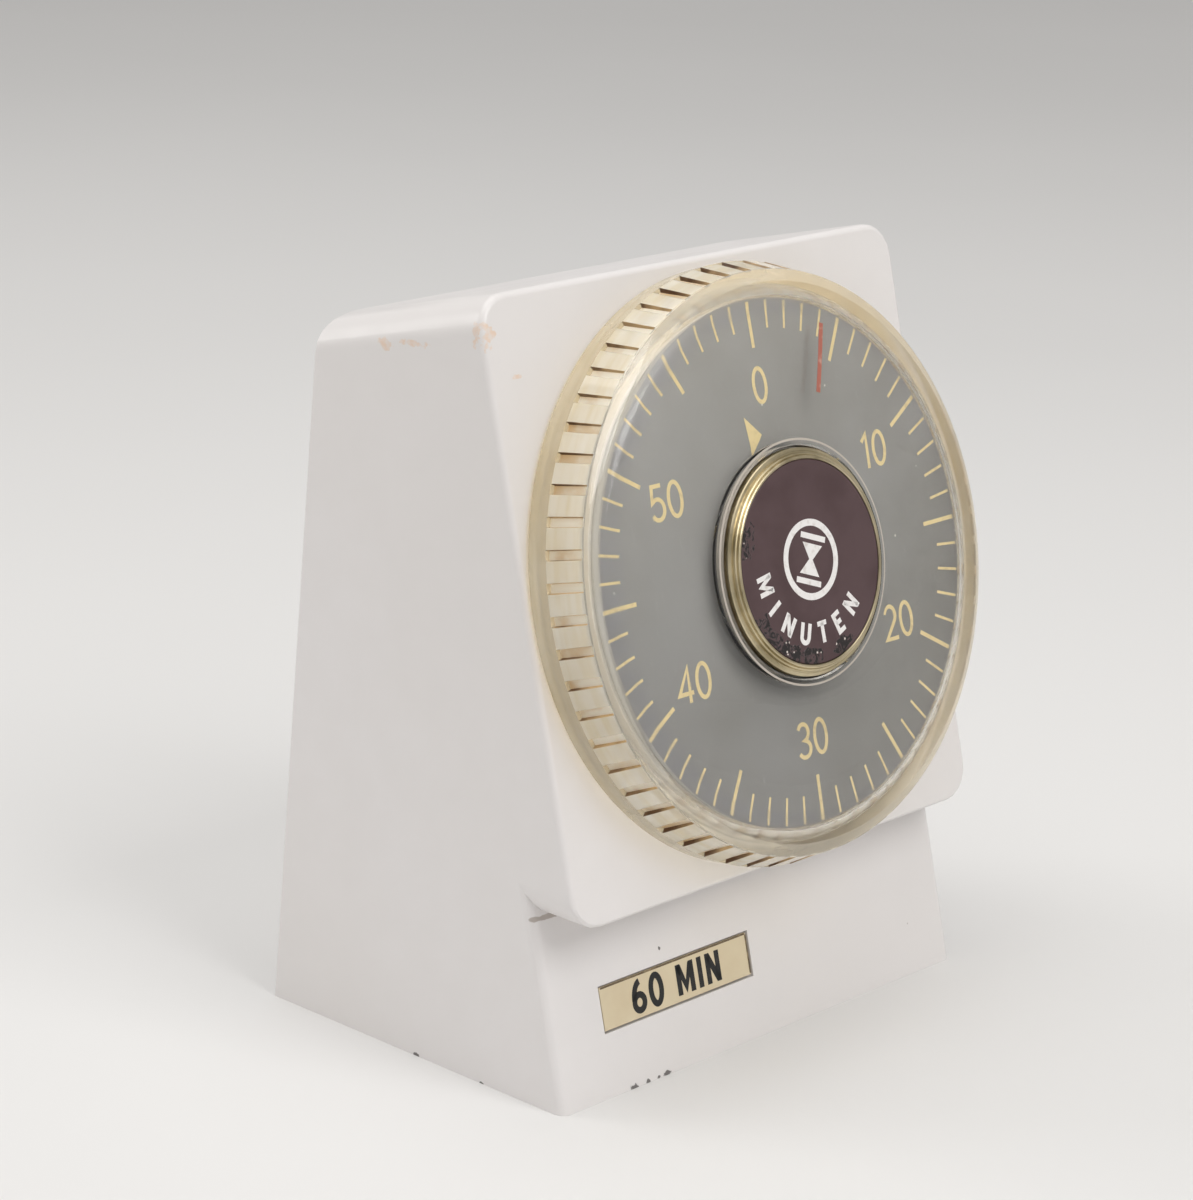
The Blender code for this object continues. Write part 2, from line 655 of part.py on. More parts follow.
def make_pillars(dial):
    """Each pillar has a stud at both ends, which passes through the plate and takes a nut at the back."""
    top = FRONT_PLATE - PLATE_THICKNESS - GAP
    low = REAR_PLATE + GAP
    front_end = FRONT_PLATE + 0.3 * MM
    back_end = REAR_PLATE - PLATE_THICKNESS - 3 * MM
    stud, body = 1.4 * MM, 2.6 * MM
    profile = [
        (0.0, front_end),
        (stud, front_end),
        (stud, top),
        (body, top),
        (body, low),
        (stud, low),
        (stud, back_end),
        (0.0, back_end),
    ]
    for i, (x, y) in enumerate(PILLARS):
        turned(f"pillar_{i + 1}", profile, dial, brass(), (x, y, 0.0), 12)
        nut_top = REAR_PLATE - PLATE_THICKNESS - GAP
        nut = [circle(2.8 * MM, 6), circle(stud + RUNNING, 12, around=True)]
        flat(f"pillar_nut_{i + 1}", nut, nut_top - 2 * MM, nut_top, dial, steel(), (x, y, 0.0))


def make_bell(dial):
    """A dome on a post, its mouth towards the movement."""
    crown = -37 * MM
    thickness = 0.9 * MM
    steps = 5
    depth = BELL_RIM - crown
    flat_radius = 7 * MM
    round_x = BELL_RADIUS - flat_radius
    outer = []
    for i in range(steps + 1):
        angle = math.pi / 2 * i / steps
        outer.append((flat_radius + round_x * math.cos(angle), BELL_RIM - depth * math.sin(angle)))
    inner = []
    for i in range(steps, -1, -1):
        angle = math.pi / 2 * i / steps
        x = flat_radius + (round_x - thickness) * math.cos(angle)
        inner.append((x, BELL_RIM - (depth - thickness) * math.sin(angle)))
    hole = 1.8 * MM
    profile = outer + [(hole, crown), (hole, crown + thickness)] + inner
    turned("bell", profile, dial, steel(), (*BELL_CENTRE, 0.0), 40)
    shoulder = REAR_PLATE - PLATE_THICKNESS - GAP
    post = [
        (0.0, REAR_PLATE + 0.2 * MM),
        (1.5 * MM, REAR_PLATE + 0.2 * MM),
        (1.5 * MM, shoulder),
        (2.6 * MM, shoulder),
        (2.6 * MM, crown + thickness + GAP),
        (1.4 * MM, crown + thickness + GAP),
        (1.4 * MM, crown - 2.6 * MM),
        (0.0, crown - 2.6 * MM),
    ]
    turned("bell_post", post, dial, steel(), (*BELL_CENTRE, 0.0), 12)
    nut = [circle(3 * MM, 6), circle(1.45 * MM, 12, around=True)]
    flat("bell_nut", nut, crown - GAP - 2 * MM, crown - GAP, dial, steel(), (*BELL_CENTRE, 0.0))


# The movement's wheels --------------------------------------------------------------------------------


def make_main_arbor(dial):
    arbor = [
        (1.3 * MM, 9.2 * MM),
        (ARBOR_RADIUS, 9.2 * MM),
        (ARBOR_RADIUS, REAR_PLATE - PLATE_THICKNESS - 1 * MM),
        (0.0, REAR_PLATE - PLATE_THICKNESS - 1 * MM),
    ]
    core = [(0.0, 3.6 * MM), (1.3 * MM, 3.6 * MM)]
    turned("main_arbor", core + arbor, dial, steel(), steps=16)
    bore = circle(ARBOR_RADIUS + RUNNING, 16, around=True)
    ratchet = toothed(16, 4.6 * MM, 5.6 * MM, 0.9, 0.15, 0.42)
    flat("ratchet_wheel", [ratchet, bore], -14.6 * MM, -13.6 * MM, dial, steel())
    notch = NOSE_ANGLE - REST_TURN
    cam = arc(MAIN, CAM_RADIUS, notch + 0.1, notch + 2 * math.pi - 0.1, 40)
    cam.append((5.5 * MM * math.cos(notch), 5.5 * MM * math.sin(notch)))
    flat("stop_cam", [cam, bore], -21.4 * MM, -20.4 * MM, dial, brass())


def spiral(start, end, turns, steps, thickness):
    """The outline of a flat spring that winds outwards, counter-clockwise, from start to end."""
    count = int(turns * steps)
    half = thickness / 2
    middle = [(start + (end - start) * i / count, 2 * math.pi * i / steps) for i in range(count + 1)]
    outer = [((r + half) * math.cos(a), (r + half) * math.sin(a)) for r, a in middle]
    inner = [((r - half) * math.cos(a), (r - half) * math.sin(a)) for r, a in reversed(middle)]
    return outer + inner


def make_mainspring(dial):
    """A spiral strip from the arbor out to a post on the front plate."""
    strip = spiral(2.5 * MM, MAIN_SPRING_RADIUS, 5.25, 20, 0.4 * MM)
    flat("mainspring", [strip], -12.6 * MM, -8.4 * MM, dial, blued_steel())
    post = [
        (0.0, FRONT_PLATE + 0.2 * MM),
        (1.0 * MM, FRONT_PLATE + 0.2 * MM),
        (1.0 * MM, -13.0 * MM),
        (0.0, -13.0 * MM),
    ]
    turned("spring_post", post, dial, steel(), (*SPRING_POST, 0.0), 12)


def make_great_wheel(dial):
    bore = circle(ARBOR_RADIUS + RUNNING, 16, around=True)
    click_hole = circle(0.9 * MM, 10, CLICK, around=True)
    outline = wheel_outline(GREAT_TEETH, GREAT_MODULE)
    holes = windows(11.5 * MM, 15.5 * MM, 5, 3 * MM)
    flat("great_wheel", [outline, bore, click_hole, *holes], -16.7 * MM, -15.5 * MM, dial, brass())
    make_click(dial)


def make_click(dial):
    """Its tip stands against a ratchet tooth's steep side. Its boss turns on a stud in the great wheel."""
    inner_side = [(4.9, 103.5), (5.25, 109), (6.0, 121), (6.6, 130)]
    outer_side = [(8.0, 128), (6.9, 113), (5.95, 103.5)]
    boss = arc(CLICK, 1.5 * MM, math.radians(-60), math.radians(-285), 9)
    outline = [place_at(MAIN, radius * MM, angle) for radius, angle in inner_side]
    outline += boss
    outline += [place_at(MAIN, radius * MM, angle) for radius, angle in outer_side]
    outline = [(x - CLICK[0], y - CLICK[1]) for x, y in outline]
    bore = circle(0.8 * MM + RUNNING, 10, around=True)
    flat("click", [outline, bore], -14.6 * MM, -13.7 * MM, dial, steel(), (*CLICK, 0.0))
    stud = [
        (0.0, -13.3 * MM),
        (1.4 * MM, -13.3 * MM),
        (1.4 * MM, -13.5 * MM),
        (0.8 * MM, -13.5 * MM),
        (0.8 * MM, -17.0 * MM),
        (0.0, -17.0 * MM),
    ]
    turned("click_stud", stud, dial, steel(), (*CLICK, 0.0), 10)


def arbor_with_pinion(name, leaves, module, low, high, place, turn, dial):
    """A steel arbor with a pivot at each end and leaves cut on it between low and high."""
    ends = pivoted_profile(1.1 * MM)
    arbor = turned(name, ends, dial, steel(), (*place, 0.0), 12)
    outline = turned_by(pinion_outline(leaves, module), turn)
    return combine(arbor, [flat("leaves", [outline], low, high, dial, place=(*place, 0.0))], "UNION")


def pivoted_profile(body):
    front = FRONT_PLATE + 0.2 * MM
    front_shoulder = FRONT_PLATE - PLATE_THICKNESS - GAP
    rear_shoulder = REAR_PLATE + GAP
    rear = REAR_PLATE - PLATE_THICKNESS - 0.2 * MM
    return [
        (0.0, front),
        (PIVOT, front),
        (PIVOT, front_shoulder),
        (body, front_shoulder),
        (body, rear_shoulder),
        (PIVOT, rear_shoulder),
        (PIVOT, rear),
        (0.0, rear),
    ]


def mesh_turn(from_place, to_place, teeth, leaves):
    """The turn that puts a gap of the pinion where the wheel's tooth points along the line of centres."""
    line = math.atan2(to_place[1] - from_place[1], to_place[0] - from_place[0])
    wheel_pitch = 2 * math.pi / teeth
    phase = (line / wheel_pitch) % 1.0
    leaf_pitch = 2 * math.pi / leaves
    return line + math.pi + leaf_pitch * (0.5 + phase)


def make_train(dial):
    """Each wheel sits at the level of the pinion that it drives."""
    stages = (
        ("second", SECOND, MAIN, GREAT_TEETH, SECOND_LEAVES, GREAT_MODULE, SECOND_TEETH, SECOND_MODULE),
        ("third", THIRD, SECOND, SECOND_TEETH, THIRD_LEAVES, SECOND_MODULE, THIRD_TEETH, THIRD_MODULE),
        ("escape", ESCAPE, THIRD, THIRD_TEETH, ESCAPE_LEAVES, THIRD_MODULE, 0, 0.0),
    )
    leaf_levels = {"second": (-17.6, -14.8), "third": (-20.3, -17.9), "escape": (-15.0, -12.6)}
    wheel_levels = {"second": (-19.5, -18.6), "third": (-14.2, -13.3)}
    for name, place, driver, teeth, leaves, module, own_teeth, own_module in stages:
        pinion_turn = mesh_turn(driver, place, teeth, leaves)
        low, high = (level * MM for level in leaf_levels[name])
        arbor_with_pinion(f"{name}_pinion", leaves, module, low, high, place, pinion_turn, dial)
        if own_teeth:
            low, high = (level * MM for level in wheel_levels[name])
            radius = own_teeth * own_module / 2
            bore = circle(1.1 * MM + RUNNING, 16, around=True)
            holes = windows(radius * 0.42, radius * 0.78, 4, 1.6 * MM)
            outlines = [wheel_outline(own_teeth, own_module), bore, *holes]
            flat(f"{name}_wheel", outlines, low, high, dial, brass(), (*place, 0.0))
    make_escape_wheel(dial)


def make_escape_wheel(dial):
    tooth = toothed(ESCAPE_TEETH, 5.4 * MM, 7.0 * MM, 0.5, 0.12, -0.25)
    bore = circle(1.1 * MM + RUNNING, 12, around=True)
    holes = windows(2.4 * MM, 4.4 * MM, 4, 1.0 * MM)
    flat("escape_wheel", [tooth, bore, *holes], -19.5 * MM, -18.8 * MM, dial, brass(), (*ESCAPE, 0.0))


def make_pallet_lever(dial):
    """Two arms with pins that reach over the escape wheel's teeth, and a tail towards the balance."""
    turned("pallet_arbor", pivoted_profile(1.0 * MM), dial, steel(), (*PALLET, 0.0), 12)
    towards_wheel = math.atan2(ESCAPE[1] - PALLET[1], ESCAPE[0] - PALLET[0])
    towards_balance = math.atan2(BALANCE[1] - PALLET[1], BALANCE[0] - PALLET[0])
    arm = [(3.0, -1.2), (5.4, -5.9), (4.7, -6.9), (3.7, -6.6), (0.4, -2.0), (-1.6, -1.6)]
    mirrored = [(x, -y) for x, y in reversed(arm)]
    shape = turned_by([(x * MM, y * MM) for x, y in arm + mirrored], towards_wheel)
    bore = circle(1.0 * MM + RUNNING, 12, around=True)
    low, high = -21.4 * MM, -20.5 * MM
    lever = flat("pallet_lever", [shape], low, high, dial, steel(), (*PALLET, 0.0))
    tail = lever_outline(6.4 * MM, 1.9 * MM, 0.8 * MM, towards_balance)
    added = [flat("tail", [tail], low, high, dial, place=(*PALLET, 0.0))]
    for side in (-1, 1):
        x, y = turned_by([(4.42 * MM, side * 6.05 * MM)], towards_wheel)[0]
        place = (PALLET[0] + x, PALLET[1] + y, 0.0)
        added.append(rod("pin", 0.4 * MM, -21.0 * MM, -18.5 * MM, dial, place=place, steps=8))
    combine(lever, added, "UNION")
    cut = flat("bore", [bore], low - MM, high + MM, dial, place=(*PALLET, 0.0))
    combine(lever, [cut], "DIFFERENCE")


def make_balance(dial):
    turned("balance_staff", pivoted_profile(0.95 * MM), dial, steel(), (*BALANCE, 0.0), 12)
    rim = [circle(7.4 * MM, 36), circle(1.0 * MM, 12, around=True), *windows(2.2 * MM, 6.0 * MM, 3, 1.4 * MM)]
    flat("balance_wheel", rim, -18.4 * MM, -17.3 * MM, dial, brass(), (*BALANCE, 0.0))
    make_hairspring(dial)


def make_hairspring(dial):
    strip = spiral(1.5 * MM, 4.2 * MM, 3.5, 16, 0.24 * MM)
    flat("hairspring", [strip], -15.0 * MM, -14.2 * MM, dial, blued_steel(), (*BALANCE, 0.0))


# The alarm ----------------------------------------------------------------------------------------------


def lever_outline(reach, hub, tip, turn):
    """A lever from a round boss at its pivot to a rounded end at reach."""
    outline = arc((0.0, 0.0), hub, math.radians(40), math.radians(320), 8)
    outline += arc((reach, 0.0), tip, -math.pi / 2, math.pi / 2, 6)
    return turned_by(outline, turn)


def make_alarm(dial):
    """A star wheel on the second arbor shakes the hammer by its tail. The hammer's arm runs behind the rear
    plate and its head stands beside the bell's rim."""
    arbor = pivoted_profile(1.1 * MM)
    arbor[-2:] = [(PIVOT, -26.0 * MM), (0.0, -26.0 * MM)]
    turned("hammer_arbor", arbor, dial, steel(), (*HAMMER, 0.0), 12)
    clear_of_bell = BELL_RADIUS + HAMMER_HEAD + HAMMER_STAND_OFF
    head_place = (BELL_CENTRE[0] - clear_of_bell, BELL_CENTRE[1] + 1 * MM)
    reach = math.hypot(head_place[0] - HAMMER[0], head_place[1] - HAMMER[1])
    turn = math.atan2(head_place[1] - HAMMER[1], head_place[0] - HAMMER[0])
    head_hole = turned_by(circle(1.05 * MM, 12, (reach, 0.0), around=True), turn)
    pivot_hole = circle(PIVOT + 0.02 * MM, 12, around=True)
    arm = [lever_outline(reach, 2.4 * MM, 1.9 * MM, turn), pivot_hole, head_hole]
    flat("hammer_arm", arm, -25.2 * MM, -24.2 * MM, dial, steel(), (*HAMMER, 0.0))
    head = [
        (0.0, -23.9 * MM),
        (1.0 * MM, -23.9 * MM),
        (1.0 * MM, -25.5 * MM),
        (HAMMER_HEAD, -25.5 * MM),
        (HAMMER_HEAD, -30.5 * MM),
        (0.0, -30.5 * MM),
    ]
    turned("hammer_head", head, dial, brass(), (*head_place, 0.0), 16)
    make_hammer_drive(dial)
    make_release_lever(dial)


def make_hammer_drive(dial):
    star = toothed(8, 2.4 * MM, STAR_RADIUS, 0.8, 0.15)
    bore = circle(1.1 * MM + RUNNING, 12, around=True)
    flat("star_wheel", [star, bore], -12.9 * MM, -12.0 * MM, dial, steel(), (*SECOND, 0.0))
    line = math.atan2(SECOND[1] - HAMMER[1], SECOND[0] - HAMMER[0])
    reach = math.hypot(SECOND[0] - HAMMER[0], SECOND[1] - HAMMER[1]) - STAR_RADIUS - 1.6 * MM
    tail = [lever_outline(reach, 2.4 * MM, 1.0 * MM, line), circle(1.1 * MM + RUNNING, 12, around=True)]
    flat("hammer_tail", tail, -12.9 * MM, -12.0 * MM, dial, steel(), (*HAMMER, 0.0))


def make_release_lever(dial):
    """Its arm runs past the stop cam's edge, and the nose on it drops into the notch when the time is up."""
    turned("release_arbor", pivoted_profile(1.1 * MM), dial, steel(), (*RELEASE, 0.0), 12)
    elbow = (NOSE_RADIUS + 1.9 * MM) * math.cos(NOSE_ANGLE), (NOSE_RADIUS + 1.9 * MM) * math.sin(NOSE_ANGLE)
    reach = math.hypot(elbow[0] - RELEASE[0], elbow[1] - RELEASE[1])
    turn = math.atan2(elbow[1] - RELEASE[1], elbow[0] - RELEASE[0])
    outline = arc((0.0, 0.0), 2.4 * MM, math.radians(40), math.radians(320), 8)
    outline += [(reach + 0.8 * MM, -0.6 * MM), (reach + 0.8 * MM, 0.6 * MM)]
    outline += [(reach + 0.1 * MM, 1.9 * MM), (reach - 0.4 * MM, 1.9 * MM), (reach - 1.8 * MM, 0.9 * MM)]
    lever = [turned_by(outline, turn), circle(1.1 * MM + RUNNING, 12, around=True)]
    flat("release_lever", lever, -21.4 * MM, -20.4 * MM, dial, steel(), (*RELEASE, 0.0))


def main():
    clear_scene()
    dial, rear, floor, side = make_frames()
    make_housing(dial, rear, floor, side)
    make_covers(rear, floor)
    make_case_screws(rear, floor)
    make_name_plate(dial)
    make_dial(dial)
    make_knob(dial)
    make_hub(dial)
    make_plates(dial)
    make_pillars(dial)
    make_bell(dial)
    make_main_arbor(dial)
    make_mainspring(dial)
    make_great_wheel(dial)
    make_train(dial)
    make_pallet_lever(dial)
    make_balance(dial)
    make_alarm(dial)


main()
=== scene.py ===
"""Looks of the clockwork sixty-minute interval timer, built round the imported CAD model.

The dial, the knob and the hub are built in the dial's own frame: X to the right, Y up the panel, Z out of the
panel, with the panel's face at Z = 0 and the knob's axis at the origin. Lengths are in metres.
"""

import json
import math

import bmesh
import bpy
from mathutils import Matrix, Vector


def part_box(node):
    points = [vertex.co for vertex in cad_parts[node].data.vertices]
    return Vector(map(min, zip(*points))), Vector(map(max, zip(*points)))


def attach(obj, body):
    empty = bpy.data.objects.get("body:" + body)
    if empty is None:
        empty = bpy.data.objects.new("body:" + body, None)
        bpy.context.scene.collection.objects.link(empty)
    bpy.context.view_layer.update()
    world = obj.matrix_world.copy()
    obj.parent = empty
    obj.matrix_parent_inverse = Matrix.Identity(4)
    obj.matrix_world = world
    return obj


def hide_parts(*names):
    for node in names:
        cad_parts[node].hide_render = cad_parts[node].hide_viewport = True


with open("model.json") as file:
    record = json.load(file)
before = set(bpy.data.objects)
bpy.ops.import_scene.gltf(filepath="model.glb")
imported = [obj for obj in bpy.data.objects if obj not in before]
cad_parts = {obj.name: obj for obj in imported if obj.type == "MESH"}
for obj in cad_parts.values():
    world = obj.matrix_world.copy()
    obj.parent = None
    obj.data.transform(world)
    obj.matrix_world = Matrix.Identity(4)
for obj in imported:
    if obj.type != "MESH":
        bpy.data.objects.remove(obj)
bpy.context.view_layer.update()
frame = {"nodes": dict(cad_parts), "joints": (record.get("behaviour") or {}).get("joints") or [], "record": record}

MM = 0.001
PRINT_THICKNESS = 0.02 * MM
PLASTIC_IOR = 1.49
WELD_DISTANCE = 0.002 * MM
REST_TURN = math.radians(20)  # the knob stands this far clockwise of its stop

# The clear knob, outwards from the panel's face. It narrows from the skirt to the face.
SKIRT_RADIUS = 41.55 * MM
SKIRT_TOP = 4.2 * MM
SKIRT_TOP_RADIUS = 41.88 * MM
RIBS = 60
RIB_SHARE = 0.66
RIB_FOOT = 4.35 * MM
RIB_FOOT_RADIUS = 41.93 * MM
RIB_FOOT_DEPTH = 0.65 * MM
RIB_TOP = 9.4 * MM
RIB_TOP_RADIUS = 40.45 * MM
RIB_TOP_DEPTH = 0.35 * MM
FACE_RADIUS = 38.6 * MM
FACE_EDGE_HEIGHT = 10.6 * MM
DOME_RISE = 1.3 * MM
FACE_BACK = 8.7 * MM
CAVITY_RADIUS = 38.0 * MM
CAVITY_FILLET = 3.0 * MM
COLLAR_RADIUS = 17.0 * MM
POCKET_RADIUS = 16.0 * MM
POCKET_FLOOR = 10.9 * MM
MOAT_FLOOR = 9.2 * MM  # a narrow groove round the pocket's floor
MOAT_WIDTH = 0.25 * MM
COLUMN_RADIUS = 6.5 * MM
COLUMN_BORE = 4.7 * MM
COLUMN_FOOT = 1.6 * MM
KNOB_BACK = 0.4 * MM
BACK_STEP = 0.25 * MM  # the face's back is cut this much deeper beyond the pocket
BACK_STEP_END = 28 * MM
RIB_POINTS = 6  # four across each land, two in the groove beside it
RIB_SURFACES = ("ribs", "ribs", "ribs", "groove_side", "groove_floor", "groove_side")

# The print on the dial.
TICK_OUTER = 36.4 * MM
TICK_INNER = 32.2 * MM
LONG_TICK_INNER = 29.7 * MM
NUMERAL_RADIUS = 24.6 * MM
NUMERAL_HEIGHT = 5.0 * MM
DIAL_STROKE = 0.58 * MM
SHORT_TICK_STROKE = 0.38 * MM
DIAL_HOLE = 8 * MM
DIAL_EDGE = 0.12 * MM
TRIANGLE = ((-4.2 * MM, 20.8 * MM), (-3.6 * MM, 15.1 * MM), (-1.2 * MM, 18.0 * MM))

# The hub.
HUB_RADIUS = 15.7 * MM
LABEL_RADIUS = 14.05 * MM
LABEL_HEIGHT = 13.2 * MM
LABEL_SEAT = 12.6 * MM
LIP_BORE = 14.12 * MM
HUB_TOP = 13.3 * MM
CENTRE_HOLE = 0.05 * MM  # keeps a turned profile's points apart at the axis
HUB_WORD_RADIUS = 9.9 * MM
HUB_WORD_MIDDLE = 199.0  # degrees clockwise from the top
HUB_WORD_SPACING = 20.8
HUB_MARK_LIFT = 0.3 * MM
HUB_MARK_RADIUS = 5.1 * MM

# The camera's place, direction and lens (the last two in millimetres).
CAMERA_PLACE = (-0.373163, -0.339817, 0.209467)
CAMERA_AZIMUTH = math.radians(-46.67687)
CAMERA_ELEVATION = math.radians(16.58738)
CAMERA_ROLL = math.radians(1.382475)
CAMERA_LENS = 110.854
CAMERA_SENSOR = 36.0


# Frames ---------------------------------------------------------------------------------------------


def dial_frame():
    """The frame whose origin is where the knob's axis meets the panel."""
    joint = next(j for j in frame["joints"] if j["name"] == "knob_turn")
    outwards = -Vector(joint["axis"]).normalized()
    right = Vector((1.0, 0.0, 0.0))
    up = outwards.cross(right)
    columns = Matrix((right, up, outwards)).transposed().to_4x4()
    return Matrix.Translation(joint["pos_m"]) @ columns


DIAL = dial_frame()


def box_in_dial_frame(node):
    """The lowest and highest corners of a CAD node, measured in the dial's frame."""
    into = DIAL.inverted()
    places = [into @ vertex.co for vertex in frame["nodes"][node].data.vertices]
    low = Vector([min(place[i] for place in places) for i in range(3)])
    high = Vector([max(place[i] for place in places) for i in range(3)])
    return low, high


# Materials ------------------------------------------------------------------------------------------


class Surface:
    """A material under construction: a Principled shader and short calls for the nodes that feed it."""

    def __init__(self, name, colour, roughness, metallic=0.0):
        self.material = bpy.data.materials.new(name)
        self.material.use_nodes = True
        self.tree = self.material.node_tree
        self.shader = self.tree.nodes["Principled BSDF"]
        self.colour = colour
        self.shader.inputs["Base Color"].default_value = (*colour, 1.0)
        self.shader.inputs["Roughness"].default_value = roughness
        self.shader.inputs["Metallic"].default_value = metallic
        self.places = self.tree.nodes.new("ShaderNodeTexCoord").outputs["Object"]

    def add(self, kind, **settings):
        node = self.tree.nodes.new(kind)
        for key, value in settings.items():
            setattr(node, key, value)
        return node

    def put(self, socket, value):
        """Links an output to the socket, or sets a plain value on it."""
        if isinstance(value, bpy.types.NodeSocket):
            self.tree.links.new(value, socket)
        else:
            socket.default_value = value

    def noise(self, scale, detail=3.0, stretch=None, distortion=0.0):
        node = self.add("ShaderNodeTexNoise")
        node.inputs["Scale"].default_value = scale
        node.inputs["Detail"].default_value = detail
        node.inputs["Distortion"].default_value = distortion
        self.put(node.inputs["Vector"], self.stretched(stretch) if stretch else self.places)
        return node.outputs["Fac"]

    def stretched(self, factors):
        node = self.add("ShaderNodeVectorMath", operation="MULTIPLY")
        self.put(node.inputs[0], self.places)
        node.inputs[1].default_value = factors
        return node.outputs["Vector"]

    def ramp(self, value, low, high, start=0.0, end=1.0):
        """Runs smoothly from start to end as the value goes from low to high."""
        node = self.add("ShaderNodeMapRange", interpolation_type="SMOOTHSTEP")
        self.put(node.inputs["Value"], value)
        for name, number in (("From Min", low), ("From Max", high), ("To Min", start), ("To Max", end)):
            node.inputs[name].default_value = number
        return node.outputs["Result"]

    def combine(self, operation, first, second=0.0):
        node = self.add("ShaderNodeMath", operation=operation)
        self.put(node.inputs[0], first)
        self.put(node.inputs[1], second)
        return node.outputs["Value"]

    def mix(self, share, first, second):
        """Colour between first and second."""
        node = self.add("ShaderNodeMix", data_type="RGBA")
        self.put(node.inputs["Factor"], share)
        for socket, colour in ((node.inputs[6], first), (node.inputs[7], second)):
            self.put(socket, colour if isinstance(colour, bpy.types.NodeSocket) else (*colour, 1.0))
        return node.outputs[2]

    def height(self):
        """How far out along the object's own Z."""
        split = self.add("ShaderNodeSeparateXYZ")
        self.put(split.inputs["Vector"], self.places)
        return split.outputs["Z"]

    def radius(self):
        """How far from the object's own Z."""
        node = self.add("ShaderNodeVectorMath", operation="LENGTH")
        self.put(node.inputs[0], self.stretched((1.0, 1.0, 0.0)))
        return node.outputs["Value"]

    def specks(self, scale, size, share):
        """Small round dots in a share of the cells of a Voronoi pattern, 1 on a dot."""
        node = self.add("ShaderNodeTexVoronoi")
        node.inputs["Scale"].default_value = scale
        self.put(node.inputs["Vector"], self.places)
        split = self.add("ShaderNodeSeparateColor")
        self.put(split.inputs["Color"], node.outputs["Color"])
        chosen = self.combine("GREATER_THAN", split.outputs["Red"], 1.0 - share)
        dot = self.ramp(node.outputs["Distance"], size, size * 0.5)
        return self.combine("MULTIPLY", dot, chosen)

    def spots(self, centres, ragged, scale):
        """Ragged spots at places: each centre is (place, half sizes), 1 inside."""
        node = self.add("ShaderNodeTexNoise")
        node.inputs["Scale"].default_value = scale
        self.put(node.inputs["Vector"], self.places)
        edge = self.combine("MULTIPLY", self.combine("SUBTRACT", node.outputs["Fac"], 0.5), ragged)
        total = None
        for place, half_sizes in centres:
            offset = self.add("ShaderNodeVectorMath", operation="SUBTRACT")
            self.put(offset.inputs[0], self.places)
            offset.inputs[1].default_value = place
            scaled = self.add("ShaderNodeVectorMath", operation="DIVIDE")
            self.put(scaled.inputs[0], offset.outputs["Vector"])
            scaled.inputs[1].default_value = half_sizes
            length = self.add("ShaderNodeVectorMath", operation="LENGTH")
            self.put(length.inputs[0], scaled.outputs["Vector"])
            spot = self.ramp(self.combine("ADD", length.outputs["Value"], edge), 1.1, 0.8)
            total = spot if total is None else self.combine("MAXIMUM", total, spot)
        return total

    def marked(self, colour, centres, ragged, scale, strength, paint):
        """The colour with ragged spots of paint over it."""
        share = self.combine("MULTIPLY", self.spots(centres, ragged, scale), strength)
        return self.mix(share, colour, paint)

    def roughness(self, low, high, scale=300.0):
        self.put(self.shader.inputs["Roughness"], self.ramp(self.noise(scale), 0.3, 0.7, low, high))

    def bump(self, height, strength, distance):
        node = self.add("ShaderNodeBump")
        node.inputs["Strength"].default_value = strength
        node.inputs["Distance"].default_value = distance
        self.put(node.inputs["Height"], height)
        self.put(self.shader.inputs["Normal"], node.outputs["Normal"])

    def base(self, colour):
        self.put(self.shader.inputs["Base Color"], colour)

    def clear(self, transmission):
        """Lets the surface be seen through, as clear plastic is."""
        self.shader.inputs["Transmission Weight"].default_value = transmission
        self.shader.inputs["IOR"].default_value = PLASTIC_IOR

    def let_light_through(self):
        """Shadow rays pass the surface, so the lamps light what is behind it."""
        path = self.add("ShaderNodeLightPath")
        clear = self.add("ShaderNodeBsdfTransparent")
        clear.inputs["Color"].default_value = (*self.colour, 1.0)
        both = self.add("ShaderNodeMixShader")
        self.put(both.inputs["Fac"], path.outputs["Is Shadow Ray"])
        self.put(both.inputs[1], self.shader.outputs["BSDF"])
        self.put(both.inputs[2], clear.outputs["BSDF"])
        self.put(self.tree.nodes["Material Output"].inputs["Surface"], both.outputs["Shader"])


def white_plastic(name, stains=(), dirt_and_shade=(), chips=()):
    """Glossy white moulding, faintly yellowed in patches, with fine dark specks and any marks that are given.

    Each mark is (place, half sizes)."""
    made = Surface(name, (0.80, 0.785, 0.77), 0.3)
    patches = made.ramp(made.noise(18.0, 2.0), 0.2, 0.8)
    colour = made.mix(patches, (0.815, 0.79, 0.785), (0.79, 0.762, 0.745))
    grain = made.ramp(made.noise(140.0, 4.0), 0.2, 0.8, 0.0, 0.4)
    colour = made.mix(grain, colour, (0.77, 0.745, 0.73))
    colour = made.mix(made.specks(150.0, 0.045, 0.07), colour, (0.36, 0.31, 0.28))
    if stains:
        broken = made.ramp(made.noise(1100.0, 3.0), 0.35, 0.65, 0.25, 0.6)
        colour = made.marked(colour, stains, 3.2, 700.0, broken, (0.80, 0.55, 0.36))
    if dirt_and_shade:
        # The corner marks under the panel are partly dirt and partly painted shade.
        colour = made.marked(colour, dirt_and_shade, 1.2, 500.0, 0.6, (0.27, 0.20, 0.15))
    if chips:
        colour = made.marked(colour, chips, 2.0, 1500.0, 0.85, (0.06, 0.05, 0.045))
    made.base(colour)
    made.roughness(0.29, 0.38, 120.0)
    made.bump(made.noise(700.0, 2.0), 0.06, 0.2 * MM)
    return made.material


